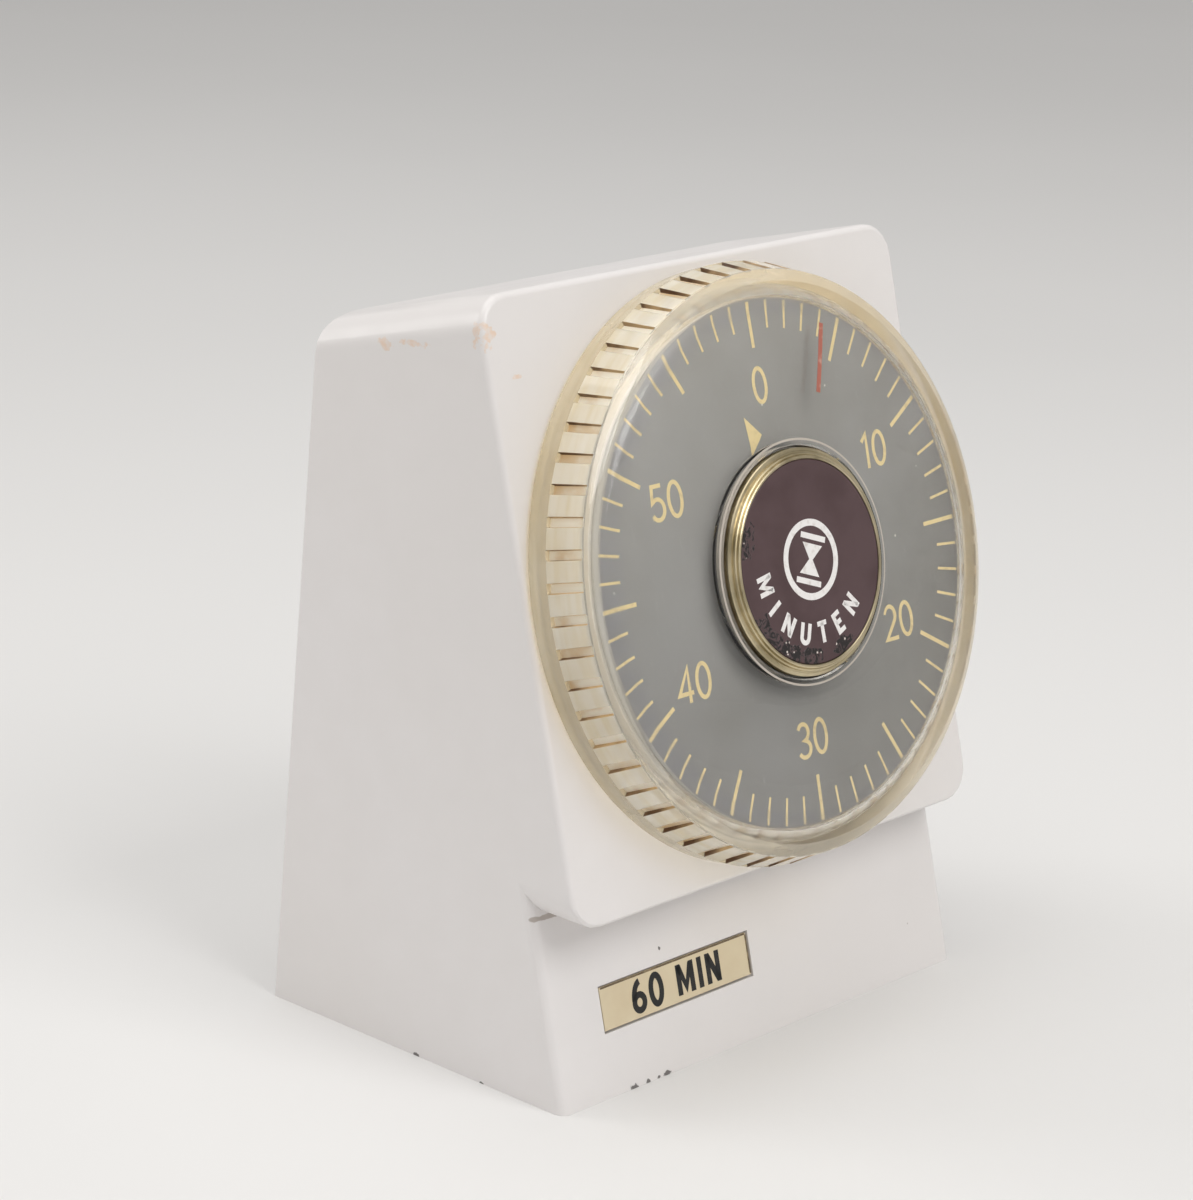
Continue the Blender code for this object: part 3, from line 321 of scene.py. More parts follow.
def clear_face():
    """Clear plastic with fine scratches, hazy in a ring just inside the rim."""
    made = Surface("clear_face", (0.97, 0.965, 0.94), 0.03)
    made.clear(1.0)
    streaks = made.noise(260.0, 6.0, stretch=(6.0, 1.0, 1.0), distortion=1.2)
    scratches = made.ramp(streaks, 0.60, 0.72, 0.02, 0.2)
    haze = made.ramp(made.radius(), 33.6 * MM, 35.0 * MM, 0.0, 0.16)
    patchy = made.combine("MULTIPLY", haze, made.ramp(made.noise(240.0, 4.0), 0.3, 0.7, 0.4, 1.3))
    made.put(made.shader.inputs["Roughness"], made.combine("MAXIMUM", scratches, patchy))
    milky = made.ramp(patchy, 0.0, 0.2)
    made.base(made.mix(milky, (0.97, 0.965, 0.94), (0.88, 0.88, 0.90)))
    made.bump(made.noise(60.0, 2.0), 0.08, 0.2 * MM)
    made.let_light_through()
    return made.material


def pocket_haze():
    """The scuffed wall of the pocket that the hub sits in: grey, with painted highlight lines along both of its
    edges.
    """
    made = Surface("pocket_haze", (0.36, 0.34, 0.31), 0.35)
    middle = (FACE_EDGE_HEIGHT + MOAT_FLOOR) / 2
    from_middle = made.combine("ABSOLUTE", made.combine("SUBTRACT", made.height(), middle))
    # Paler bands at the wall's top and bottom: painted highlight lines.
    edges = made.ramp(from_middle, 0.7 * MM, 1.1 * MM)
    scuffs = made.ramp(made.noise(500.0, 4.0), 0.3, 0.7)
    grey = made.mix(scuffs, (0.36, 0.335, 0.30), (0.46, 0.425, 0.37))
    made.base(made.mix(edges, grey, (0.52, 0.47, 0.41)))
    made.roughness(0.3, 0.45, 300.0)
    made.bump(made.noise(900.0, 3.0), 0.1, 0.1 * MM)
    made.let_light_through()
    return made.material


def yellowed(name, colour, aged, transmission, low, high):
    """Clear plastic seen through its thickness: yellowed in patches, with painted streaks of light and shade in
    bands along its height, and milky from wear.
    """
    made = Surface(name, colour, 0.12)
    made.clear(transmission)
    # Bands along the height: painted light and shade standing in for light refracted inside the rim.
    painted_streaks = made.ramp(made.noise(330.0, 2.0, stretch=(0.25, 0.25, 2.5)), 0.35, 0.65)
    patches = made.ramp(made.noise(120.0, 4.0), 0.3, 0.7)
    share = made.combine("MULTIPLY", made.combine("ADD", painted_streaks, patches), 0.5)
    made.base(made.mix(share, colour, aged))
    made.roughness(low, high, 400.0)
    made.bump(made.noise(300.0, 2.0), 0.05, 0.1 * MM)
    made.let_light_through()
    return made.material


def clear_rim():
    return yellowed("clear_rim", (0.99, 0.965, 0.88), (0.90, 0.80, 0.60), 0.5, 0.04, 0.14)


def clear_bevel():
    return yellowed("clear_bevel", (0.97, 0.95, 0.89), (0.95, 0.91, 0.80), 0.8, 0.04, 0.14)


def clear_flange():
    return yellowed("clear_flange", (0.86, 0.80, 0.66), (0.78, 0.69, 0.50), 0.65, 0.12, 0.25)


def groove_dirt(name, clean, dirty, transmission, foot_share):
    """Brown grime packed into a groove, thickest beside the skirt."""
    made = Surface(name, clean, 0.4)
    near_skirt = made.ramp(made.height(), RIB_TOP, RIB_FOOT, 0.0, foot_share)
    patches = made.ramp(made.noise(150.0, 4.0), 0.35, 0.65, -0.2, 0.6)
    thick = made.ramp(made.combine("ADD", near_skirt, patches), 0.1, 1.0)
    made.base(made.mix(thick, clean, dirty))
    made.shader.inputs["Transmission Weight"].default_value = transmission
    made.roughness(0.3, 0.5, 500.0)
    made.bump(made.noise(900.0, 3.0), 0.25, 0.1 * MM)
    made.let_light_through()
    return made.material


def rib_grime():
    return groove_dirt("rib_grime", (0.55, 0.38, 0.20), (0.10, 0.045, 0.018), 0.1, 0.6)


def groove_floor():
    return groove_dirt("groove_floor", (0.96, 0.92, 0.80), (0.72, 0.50, 0.26), 0.35, 0.3)


def dial_paint():
    """Mid-grey satin paint with faint cloudiness and light dust."""
    made = Surface("dial_paint", (0.26, 0.26, 0.265), 0.5)
    cloud = made.ramp(made.noise(45.0, 4.0), 0.3, 0.7)
    colour = made.mix(cloud, (0.275, 0.275, 0.28), (0.235, 0.232, 0.228))
    colour = made.mix(made.specks(300.0, 0.07, 0.08), colour, (0.6, 0.58, 0.54))
    made.base(colour)
    made.roughness(0.42, 0.6, 250.0)
    made.bump(made.noise(1200.0, 2.0), 0.1, 0.05 * MM)
    return made.material


def ink(name, colour, worn, roughness=0.45):
    """Printed ink that has worn a little thin in places."""
    made = Surface(name, colour, roughness)
    made.base(made.mix(made.ramp(made.noise(900.0, 4.0), 0.5, 0.75), colour, worn))
    made.roughness(roughness - 0.08, roughness + 0.12, 900.0)
    made.bump(made.noise(1800.0, 2.0), 0.1, 0.03 * MM)
    return made.material


def card(name, colour, worn):
    """A printed card or foil label, smudged towards the worn colour."""
    made = Surface(name, colour, 0.42)
    smudge = made.ramp(made.noise(120.0, 5.0), 0.35, 0.75, 0.0, 0.7)
    shade = made.mix(smudge, colour, worn)
    made.base(made.mix(made.specks(500.0, 0.07, 0.12), shade, tuple(0.45 * part for part in colour)))
    made.roughness(0.32, 0.5, 300.0)
    made.bump(made.noise(900.0, 3.0), 0.12, 0.05 * MM)
    return made.material


def hub_paint():
    """Dark maroon label whose edge has lifted and crinkled, mostly at the lower left."""
    made = Surface("hub_paint", (0.09, 0.052, 0.055), 0.33)
    patches = made.ramp(made.noise(130.0, 3.0), 0.35, 0.7)
    colour = made.mix(patches, (0.092, 0.054, 0.057), (0.07, 0.038, 0.04))
    lifted = made.spots(label_flakes(), 4.0, 900.0)
    crinkles = made.ramp(made.noise(800.0, 5.0, distortion=2.0), 0.42, 0.52)
    colour = made.mix(made.combine("MULTIPLY", lifted, crinkles), colour, (0.012, 0.008, 0.008))
    light = made.combine("MULTIPLY", lifted, made.specks(1500.0, 0.32, 0.22))
    made.base(made.mix(light, colour, (0.78, 0.70, 0.64)))
    made.put(made.shader.inputs["Roughness"], made.ramp(lifted, 0.0, 1.0, 0.3, 0.45))
    wrinkles = made.combine("MULTIPLY", lifted, crinkles)
    made.bump(made.combine("ADD", made.combine("MULTIPLY", made.noise(600.0), 0.1), wrinkles), 0.5, 0.3 * MM)
    return made.material


def label_flakes():
    """Short stretches of the label's rim, as overlapping spots: (clockwise degrees from the top, length)."""
    stretches = ((190, 10), (212, 14), (222, 26), (236, 10), (292, 12), (163, 8))
    spots = []
    for middle, length in stretches:
        for i in range(5):
            x, y = clockwise(middle + length * (i / 4 - 0.5), LABEL_RADIUS - 0.9 * MM)
            spots.append(((x, y, LABEL_HEIGHT), (1.0 * MM, 1.0 * MM, 9 * MM)))
    return spots


def metal(name, colour, dark, roughness, stretch=(1.0, 1.0, 1.0)):
    """Machined metal with fine marks and a patina that comes and goes."""
    made = Surface(name, colour, roughness, 1.0)
    patina = made.ramp(made.noise(150.0, 5.0), 0.35, 0.75, 0.0, 0.8)
    made.base(made.mix(patina, colour, dark))
    marks = made.noise(1500.0, 3.0, stretch=stretch)
    made.put(made.shader.inputs["Roughness"], made.ramp(marks, 0.3, 0.7, roughness - 0.04, roughness + 0.1))
    made.bump(marks, 0.12, 0.03 * MM)
    return made.material


def fibre():
    made = Surface("dark_fibre_board", (0.05, 0.045, 0.04), 0.8)
    weave = made.noise(500.0, 6.0, stretch=(1.0, 4.0, 1.0))
    made.base(made.mix(made.ramp(weave, 0.3, 0.7), (0.035, 0.03, 0.027), (0.085, 0.075, 0.062)))
    made.roughness(0.7, 0.9, 600.0)
    made.bump(weave, 0.3, 0.1 * MM)
    return made.material


# Meshes ---------------------------------------------------------------------------------------------


def show(name, mesh, finishes, place=DIAL):
    """Puts the mesh in the scene, in the dial's frame unless told otherwise."""
    obj = bpy.data.objects.new(name, mesh)
    obj.matrix_world = place
    bpy.context.scene.collection.objects.link(obj)
    for finish in finishes:
        mesh.materials.append(finish)
    return obj


def settle(obj, body, slot, *nodes):
    """Says what the piece moves with and the CAD nodes it stands for; slot, its finish in the record, is not used.
    """
    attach(obj, body)
    if nodes:
        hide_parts(*nodes)
    return obj


def mesh_of(name, points, faces):
    mesh = bpy.data.meshes.new(name)
    mesh.from_pydata(points, [], faces)
    mesh.validate()
    form = bmesh.new()
    form.from_mesh(mesh)
    bmesh.ops.recalc_face_normals(form, faces=form.faces)
    form.to_mesh(mesh)
    form.free()
    return mesh


def smooth(mesh, degrees):
    mesh.polygons.foreach_set("use_smooth", [True] * len(mesh.polygons))
    mesh.set_sharp_from_angle(angle=math.radians(degrees))


def softened(node, body, slot, finish, width, segments=3):
    """A copy of a CAD node, with its flat faces joined up again and its sharp edges rounded."""
    mesh = frame["nodes"][node].data.copy()
    for layer in ("custom_normal", "sharp_edge", "sharp_face"):
        if layer in mesh.attributes:
            mesh.attributes.remove(mesh.attributes[layer])
    form = bmesh.new()
    form.from_mesh(mesh)
    bmesh.ops.remove_doubles(form, verts=form.verts, dist=WELD_DISTANCE)
    bmesh.ops.dissolve_limit(form, angle_limit=math.radians(0.6), verts=form.verts, edges=form.edges)
    form.to_mesh(mesh)
    form.free()
    mesh.polygons.foreach_set("use_smooth", [True] * len(mesh.polygons))
    mesh.materials.clear()
    obj = show(f"{node}_finished", mesh, [finish], Matrix.Identity(4))
    bevel = obj.modifiers.new("edges", "BEVEL")
    bevel.width = width
    bevel.segments = segments
    bevel.limit_method = "ANGLE"
    bevel.angle_limit = math.radians(32)
    weights = obj.modifiers.new("normals", "WEIGHTED_NORMAL")
    weights.keep_sharp = True
    return settle(obj, body, slot, node)


def revolve(name, rows, steps, point_at=None):
    """Turns a closed profile of (radius, height, ...) rows about Z.

    point_at(row, step) gives the angle and the radius. Without it the steps are even."""
    points = []
    for row in rows:
        for step in range(steps):
            angle, radius = (point_at or even_steps(steps))(row, step)
            points.append((radius * math.cos(angle), radius * math.sin(angle), row[1]))
    faces = []
    for level in range(len(rows)):
        above = (level + 1) % len(rows)
        for step in range(steps):
            ahead = (step + 1) % steps
            faces.append(
                (level * steps + step, level * steps + ahead, above * steps + ahead, above * steps + step)
            )
    return mesh_of(name, points, faces)


def even_steps(steps):
    return lambda row, step: (2 * math.pi * step / steps, row[0])


def ribbon(path, width, height, closed=False):
    """A thin solid strip along a flat path. height is a number, or says the height at a point.

    Returns (points, faces)."""
    count = len(path)
    sides = []
    for i, here in enumerate(path):
        before = path[i - 1] if i or closed else here
        after = path[(i + 1) % count] if i < count - 1 or closed else here
        arriving = (Vector(here) - Vector(before)).normalized()
        leaving = (Vector(after) - Vector(here)).normalized()
        along = (arriving + leaving).normalized()
        across = Vector((-along.y, along.x))
        bend = max(0.5, along.dot(leaving if leaving.length else arriving))
        reach = width / 2 / bend
        sides.append((Vector(here) + across * reach, Vector(here) - across * reach))
    level = height if callable(height) else lambda place: height
    points = []
    for left, right in sides:
        for place in (left, right):
            points.append((place.x, place.y, level(place)))
            points.append((place.x, place.y, level(place) - PRINT_THICKNESS))
    faces = []
    for i in range(count if closed else count - 1):
        a, b = 4 * i, 4 * ((i + 1) % count)
        for one, other in ((0, 2), (2, 3), (3, 1), (1, 0)):
            faces.append((a + one, a + other, b + other, b + one))
    if not closed:
        last = 4 * (count - 1)
        faces.append((0, 1, 3, 2))
        faces.append((last, last + 2, last + 3, last + 1))
    return points, faces


def slab(outline, height):
    """A thin solid with the given outline. Returns (points, faces)."""
    count = len(outline)
    points = [(x, y, height) for x, y in outline] + [(x, y, height - PRINT_THICKNESS) for x, y in outline]
    faces = [tuple(range(count)), tuple(reversed(range(count, 2 * count)))]
    for i in range(count):
        ahead = (i + 1) % count
        faces.append((i, ahead, count + ahead, count + i))
    return points, faces


def joined(name, pieces):
    """One mesh from many (points, faces)."""
    points, faces = [], []
    for piece_points, piece_faces in pieces:
        start = len(points)
        points.extend(piece_points)
        faces.extend(tuple(start + index for index in face) for face in piece_faces)
    return mesh_of(name, points, faces)


# Lettering ------------------------------------------------------------------------------------------


def bow(x, y, across, up, start, end, steps=14):
    """Part of an ellipse, from one angle in degrees to another."""
    angles = [math.radians(start + (end - start) * i / steps) for i in range(steps + 1)]
    return [(x + across * math.cos(a), y + up * math.sin(a)) for a in angles]


# Each character in a box one unit high: its width, then the lines that a pen would draw.
LETTERS = {
    "0": (0.56, [bow(0.28, 0.5, 0.24, 0.46, 90, 450, 28)]),
    "1": (0.36, [[(0.04, 0.76), (0.24, 0.96), (0.24, 0.0)]]),
    "2": (0.56, [bow(0.27, 0.70, 0.23, 0.26, 165, -38) + [(0.04, 0.04), (0.54, 0.04)]]),
    "3": (
        0.56,
        [bow(0.26, 0.73, 0.21, 0.23, 155, -90) + bow(0.26, 0.27, 0.24, 0.23, 90, -155)[1:]],
    ),
    "4": (0.60, [[(0.44, 0.0), (0.44, 0.94), (0.04, 0.26), (0.58, 0.26)]]),
    "5": (0.56, [[(0.48, 0.95), (0.13, 0.95), (0.09, 0.52)] + bow(0.27, 0.32, 0.24, 0.28, 128, -150)]),
    "6": (0.56, [bow(0.28, 0.29, 0.23, 0.25, 180, 540, 24), bow(0.42, 0.34, 0.37, 0.62, 176, 98)]),
    "E": (0.48, [[(0.46, 0.95), (0.07, 0.95), (0.07, 0.05), (0.46, 0.05)], [(0.07, 0.52), (0.40, 0.52)]]),
    "I": (0.14, [[(0.07, 0.0), (0.07, 1.0)]]),
    "M": (
        0.76,
        [[(0.07, 0.0), (0.07, 1.0)], [(0.10, 0.94), (0.38, 0.22), (0.66, 0.94)], [(0.69, 1.0), (0.69, 0.0)]],
    ),
    "N": (0.60, [[(0.07, 0.0), (0.07, 1.0)], [(0.09, 0.93), (0.51, 0.07)], [(0.53, 0.0), (0.53, 1.0)]]),
    "T": (0.54, [[(0.0, 0.95), (0.54, 0.95)], [(0.27, 0.95), (0.27, 0.0)]]),
    "U": (0.56, [[(0.07, 1.0)] + bow(0.28, 0.29, 0.21, 0.25, 180, 360) + [(0.49, 1.0)]]),
}


def letter(character, centre, size, stroke, height, turn=0.0, squeeze=1.0):
    """The strips of one character, centred, turned anticlockwise by turn."""
    width, lines = LETTERS[character]
    made = []
    for line in lines:
        path = []
        for x, y in line:
            across, up = (x - width / 2) * size * squeeze, (y - 0.5) * size
            path.append(
                (
                    centre[0] + across * math.cos(turn) - up * math.sin(turn),
                    centre[1] + across * math.sin(turn) + up * math.cos(turn),
                )
            )
        closed = (Vector(path[0]) - Vector(path[-1])).length < 0.01 * MM
        made.append(ribbon(path[:-1] if closed else path, stroke, height, closed))
    return made


def line_of(text, centre, size, stroke, height, gap, squeeze=1.0):
    """The strips of a straight line of text, centred."""
    widths = [LETTERS[c][0] * size * squeeze if c != " " else 0.22 * size for c in text]
    start = centre[0] - (sum(widths) + gap * (len(text) - 1)) / 2
    made = []
    for character, width in zip(text, widths):
        if character != " ":
            made += letter(character, (start + width / 2, centre[1]), size, stroke, height, squeeze=squeeze)
        start += width + gap
    return made


def clockwise(degrees, radius):
    """The point at an angle clockwise from straight up."""
    angle = math.radians(degrees)
    return (radius * math.sin(angle), radius * math.cos(angle))


# The case -------------------------------------------------------------------------------------------


def base_front(x, z):
    """The point on the base's leaning front face at x, at a height z over the table."""
    plane = box_in_dial_frame("name_plate")[1].z + 0.15 * MM
    outwards = DIAL.col[2].xyz
    up = DIAL.col[1].xyz
    start = DIAL.translation + outwards * plane
    point = start + up * ((z - start.z) / up.z)
    return Vector((x, point.y, z))


def case_stains(side, top):
    """Brownish stains round the top left corner."""
    return [
        ((side, 6.5 * MM, top - 8 * MM), (1 * MM, 2.0 * MM, 0.6 * MM)),
        ((side, 12.5 * MM, top - 9 * MM), (1 * MM, 1.3 * MM, 0.7 * MM)),
        ((side + 1 * MM, -5 * MM, top - 5 * MM), (1.2 * MM, 1.2 * MM, 2.0 * MM)),
        (DIAL @ Vector((side + 5.5 * MM, 32.0 * MM, 0.0)), (0.9 * MM, 2 * MM, 0.35 * MM)),
    ]


def step_dirt(side):
    """Dirt and painted shade in the corner under the panel, thinning out to the right."""
    corner = DIAL @ Vector((side, -40.6 * MM, -8.3 * MM))
    return [
        (corner + Vector((reach * MM, 0.0, 0.0)), (2.2 * MM, depth * MM, 0.4 * MM))
        for reach, depth in ((0.0, 0.8), (2.5, 0.9), (5.5, 0.6), (9.0, 0.4))
    ]


def edge_chips(side):
    """Dark chips along the lower edges, and a speck above the name plate."""
    front = ((-27.8, 0.7, 0.5), (-25.0, 0.4, 0.35), (-21.2, 0.7, 0.4), (-22.8, 0.35, 0.25))
    chips = [(base_front(x * MM, 0.2 * MM), (half * MM, 0.8 * MM, up * MM)) for x, half, up in front]
    chips.append(((side, 5 * MM, 0.0), (0.8 * MM, 0.6 * MM, 0.4 * MM)))
    chips.append(((side, -8 * MM, 0.0), (0.8 * MM, 0.5 * MM, 0.3 * MM)))
    chips.append((base_front(-19 * MM, 17 * MM), (0.2 * MM, 0.8 * MM, 0.3 * MM)))
    return chips


def make_case():
    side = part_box("housing")[0].x
    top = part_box("housing")[1].z
    marks = (case_stains(side, top), step_dirt(side), edge_chips(side))
    shell = white_plastic("white_moulding", *marks)
    plain = white_plastic("white_cover")
    softened("housing", "case", "white_plastic", shell, 0.45 * MM)
    softened("rear_cover", "case", "white_plastic", plain, 0.25 * MM)
    softened("bottom_plate", "case", "dark_fibre", fibre(), 0.2 * MM)
    softened("dial_carrier", "case", "white_plastic", plain, 0.2 * MM)


def make_name_plate():
    """A cream card in the base's recess, with bold lettering and a brown painted shadow line along its top and
    right edges.
    """
    low, high = box_in_dial_frame("name_plate")
    cream = card("cream_card", (0.72, 0.62, 0.43), (0.64, 0.52, 0.34))
    softened("name_plate", "case", "cream_label", cream, 0.08 * MM)
    middle = ((low.x + high.x) / 2, (low.y + high.y) / 2)
    top = high.z + PRINT_THICKNESS
    text = line_of("60 MIN", middle, 4.4 * MM, 0.92 * MM, top, 1.1 * MM, 0.98)
    black = ink("black_ink", (0.008, 0.008, 0.008), (0.035, 0.03, 0.028))
    settle(show("plate_lettering", joined("plate_lettering", text), [black]), "case", "dark_fibre")
    inset = 0.25 * MM
    # Strips along the top and right edges: painted shadow where the card meets the recess's rim.
    edges = [
        ribbon([(low.x + inset, high.y - inset / 2), (high.x - inset, high.y - inset / 2)], inset, top),
        ribbon([(high.x - inset / 2, high.y - inset), (high.x - inset / 2, low.y + inset)], inset, top),
    ]
    brown = ink("plate_edge_shadow_ink", (0.12, 0.08, 0.04), (0.3, 0.22, 0.12))
    settle(show("plate_edge_shadow", joined("plate_edge_shadow", edges), [brown]), "case", "dark_fibre")


# The dial -------------------------------------------------------------------------------------------


def make_dial():
    low, high = box_in_dial_frame("dial_disc")
    radius = high.x
    rows = [
        (DIAL_HOLE, high.z),
        (radius - DIAL_EDGE, high.z),
        (radius, high.z - DIAL_EDGE),
        (radius, low.z),
        (DIAL_HOLE, low.z),
    ]
    mesh = revolve("dial_disc_painted", rows, 160)
    smooth(mesh, 50)
    settle(show("dial_disc_painted", mesh, [dial_paint()]), "case", "dial_grey", "dial_disc")
    print_height = high.z + PRINT_THICKNESS
    cream = ink("dial_ink", (0.76, 0.62, 0.33), (0.62, 0.50, 0.28), 0.5)
    marks = {
        "dial_ticks": dial_ticks(print_height),
        "dial_numerals": dial_numerals(print_height),
        "dial_triangle": [slab(TRIANGLE, print_height)],
    }
    for name, strips in marks.items():
        settle(show(name, joined(name, strips), [cream]), "case", "cream_label")


def dial_ticks(height):
    strips = []
    for minute in range(60):
        long = minute % 5 == 0
        inner, width = (LONG_TICK_INNER, DIAL_STROKE) if long else (TICK_INNER, SHORT_TICK_STROKE)
        ends = [clockwise(6 * minute, inner), clockwise(6 * minute, TICK_OUTER)]
        strips.append(ribbon(ends, width, height))
    return strips


def dial_numerals(height):
    strips = []
    for minutes in range(0, 60, 10):
        centre = clockwise(6 * minutes, NUMERAL_RADIUS)
        strips += line_of(str(minutes), centre, NUMERAL_HEIGHT, DIAL_STROKE, height, 0.55 * MM)
    return strips


# The knob -------------------------------------------------------------------------------------------


def dome_height(radius):
    """How high the clear face stands at a radius: it rises from the bevel to the collar round the hub."""
    share = (FACE_RADIUS - radius) / (FACE_RADIUS - COLLAR_RADIUS)
    return FACE_EDGE_HEIGHT + DOME_RISE * (1 - (1 - min(1.0, max(0.0, share))) ** 2)


def rib_step(row, step):
    """Angle and radius at one of the points of each rib and of the groove beside it."""
    pitch = 2 * math.pi / RIBS
    land = pitch * RIB_SHARE
    rib, point = divmod(step, RIB_POINTS)
    slope = 0.03 * pitch
    offsets = (-land / 2, -land / 6, land / 6, land / 2, land / 2 + slope, pitch - land / 2 - slope)
    angle = rib * pitch + offsets[point] + pitch / 2
    radius, height, kind = row
    if point > 3 and kind == "ribs":
        share = (height - RIB_FOOT) / (RIB_TOP - RIB_FOOT)
        radius -= RIB_FOOT_DEPTH + (RIB_TOP_DEPTH - RIB_FOOT_DEPTH) * share
    return angle, radius


def knob_rows():
    """The knob's closed profile: the outside, the face, the hub's pocket and column, the back, the mouth."""
    outside = [
        (SKIRT_RADIUS - 0.2 * MM, KNOB_BACK, "flange"),
        (SKIRT_RADIUS, KNOB_BACK + 0.2 * MM, "flange"),
        (SKIRT_RADIUS + 0.07 * MM, 1.8 * MM, "flange"),
        (SKIRT_TOP_RADIUS, SKIRT_TOP, "flange"),
        (RIB_FOOT_RADIUS, RIB_FOOT, "ribs"),
        (RIB_TOP_RADIUS, RIB_TOP, "ribs"),
        (RIB_TOP_RADIUS - 0.02 * MM, RIB_TOP + 0.08 * MM, "bevel"),
        (RIB_TOP_RADIUS - 0.12 * MM, RIB_TOP + 0.32 * MM, "bevel"),
        (RIB_TOP_RADIUS - 0.4 * MM, RIB_TOP + 0.52 * MM, "bevel"),
        (FACE_RADIUS + 0.3 * MM, FACE_EDGE_HEIGHT - 0.1 * MM, "bevel"),
    ]
    steps = 14
    radii = [FACE_RADIUS + (COLLAR_RADIUS - FACE_RADIUS) * i / steps for i in range(steps + 1)]
    face = [(radius, dome_height(radius), "face") for radius in radii[:-1]]
    face.append((COLLAR_RADIUS, dome_height(COLLAR_RADIUS), "pocket"))
    collar_top = dome_height(COLLAR_RADIUS)
    pocket = [
        (COLLAR_RADIUS - 0.3 * MM, collar_top + 0.06 * MM, "face"),
        (POCKET_RADIUS + 0.2 * MM, collar_top + 0.05 * MM, "face"),
        (POCKET_RADIUS, collar_top - 0.2 * MM, "pocket"),
        (POCKET_RADIUS, MOAT_FLOOR, "pocket"),
        (POCKET_RADIUS - MOAT_WIDTH, MOAT_FLOOR, "face"),
        (POCKET_RADIUS - MOAT_WIDTH, POCKET_FLOOR, "face"),
        (COLUMN_BORE, POCKET_FLOOR, "face"),
        (COLUMN_BORE, COLUMN_FOOT, "face"),
        (COLUMN_RADIUS, COLUMN_FOOT, "face"),
        (COLUMN_RADIUS, FACE_BACK - 0.8 * MM, "face"),
        (COLUMN_RADIUS + 0.3 * MM, FACE_BACK - 0.2 * MM, "face"),
        (COLUMN_RADIUS + 1.0 * MM, FACE_BACK, "face"),
    ]
    back = [
        (POCKET_RADIUS, FACE_BACK, "face"),
        (POCKET_RADIUS + 0.6 * MM, FACE_BACK + BACK_STEP, "face"),
        (BACK_STEP_END, FACE_BACK + BACK_STEP, "face"),
    ]
    start = (CAVITY_RADIUS - CAVITY_FILLET, FACE_BACK - CAVITY_FILLET)
    arc = bow(*start, CAVITY_FILLET, CAVITY_FILLET, 90, 0, 8)
    fillet = [(x, y, "face" if x < CAVITY_RADIUS - CAVITY_FILLET / 2 else "bevel") for x, y in arc]
    mouth = [(CAVITY_RADIUS, SKIRT_TOP, "flange"), (CAVITY_RADIUS, KNOB_BACK, "flange")]
    return outside + face + pocket + back + fillet + mouth


def knob_finishes():
    """The knob's materials, by the kind of surface they go on."""
    return {
        "face": clear_face(),
        "ribs": clear_rim(),
        "flange": clear_flange(),
        "groove_side": rib_grime(),
        "groove_floor": groove_floor(),
        "pocket": pocket_haze(),
        "bevel": clear_bevel(),
    }


def make_knob():
    rows = knob_rows()
    steps = RIB_POINTS * RIBS
    mesh = revolve("knob_cup", rows, steps, rib_step)
    finishes = knob_finishes()
    obj = show("knob_cup", mesh, finishes.values())
    slots = {kind: index for index, kind in enumerate(finishes)}
    for level, (_, height, kind) in enumerate(rows):
        for step in range(steps):
            ribbed = kind == "ribs" and height < RIB_TOP
            surface = RIB_SURFACES[step % RIB_POINTS] if ribbed else kind
            mesh.polygons[level * steps + step].material_index = slots[surface]
    smooth(mesh, 20)
    settle(obj, "knob", "clear_plastic", "time_knob")
    make_pointer_line()


def make_pointer_line():
    """The red line printed on the clear face."""
    ends = [clockwise(math.degrees(REST_TURN), radius * MM) for radius in (23.7, 27, 30, 33.5)]
    strip = ribbon(ends, 0.8 * MM, lambda place: dome_height(place.length) + PRINT_THICKNESS)
    red = ink("red_ink", (0.42, 0.13, 0.09), (0.55, 0.32, 0.25))
    settle(show("knob_pointer_line", joined("knob_pointer_line", [strip]), [red]), "knob", "maroon_label")


def hub_ring_rows():
    """The brass cap's closed profile, with a stepped lip round the label's seat."""
    base = box_in_dial_frame("hub_cap")[0].z
    wall = [
        (CENTRE_HOLE, base),
        (HUB_RADIUS - 0.1 * MM, base),
        (HUB_RADIUS, base + 0.1 * MM),
        (HUB_RADIUS, 12.25 * MM),
        (HUB_RADIUS - 0.12 * MM, 12.4 * MM),
        (15.25 * MM, 12.45 * MM),
    ]
    steps = [
        (15.2 * MM, 12.4 * MM),
        (15.0 * MM, 12.42 * MM),
        (14.92 * MM, 12.85 * MM),
        (14.75 * MM, 12.95 * MM),
        (14.6 * MM, 12.9 * MM),
        (14.55 * MM, 13.2 * MM),
    ]
    lip = [
        (14.4 * MM, HUB_TOP),
        (14.2 * MM, HUB_TOP),
        (LIP_BORE, 13.2 * MM),
        (LIP_BORE, LABEL_SEAT),
        (CENTRE_HOLE, LABEL_SEAT),
    ]
    return wall + steps + lip


def label_rows():
    """The label's closed profile, with a small bevel round its top."""
    underside = LABEL_SEAT + 0.02 * MM
    bevel = 0.12 * MM
    return [
        (CENTRE_HOLE, underside),
        (LABEL_RADIUS - 0.02 * MM, underside),
        (LABEL_RADIUS, LABEL_HEIGHT - bevel),
        (LABEL_RADIUS - bevel, LABEL_HEIGHT),
        (CENTRE_HOLE, LABEL_HEIGHT),
    ]


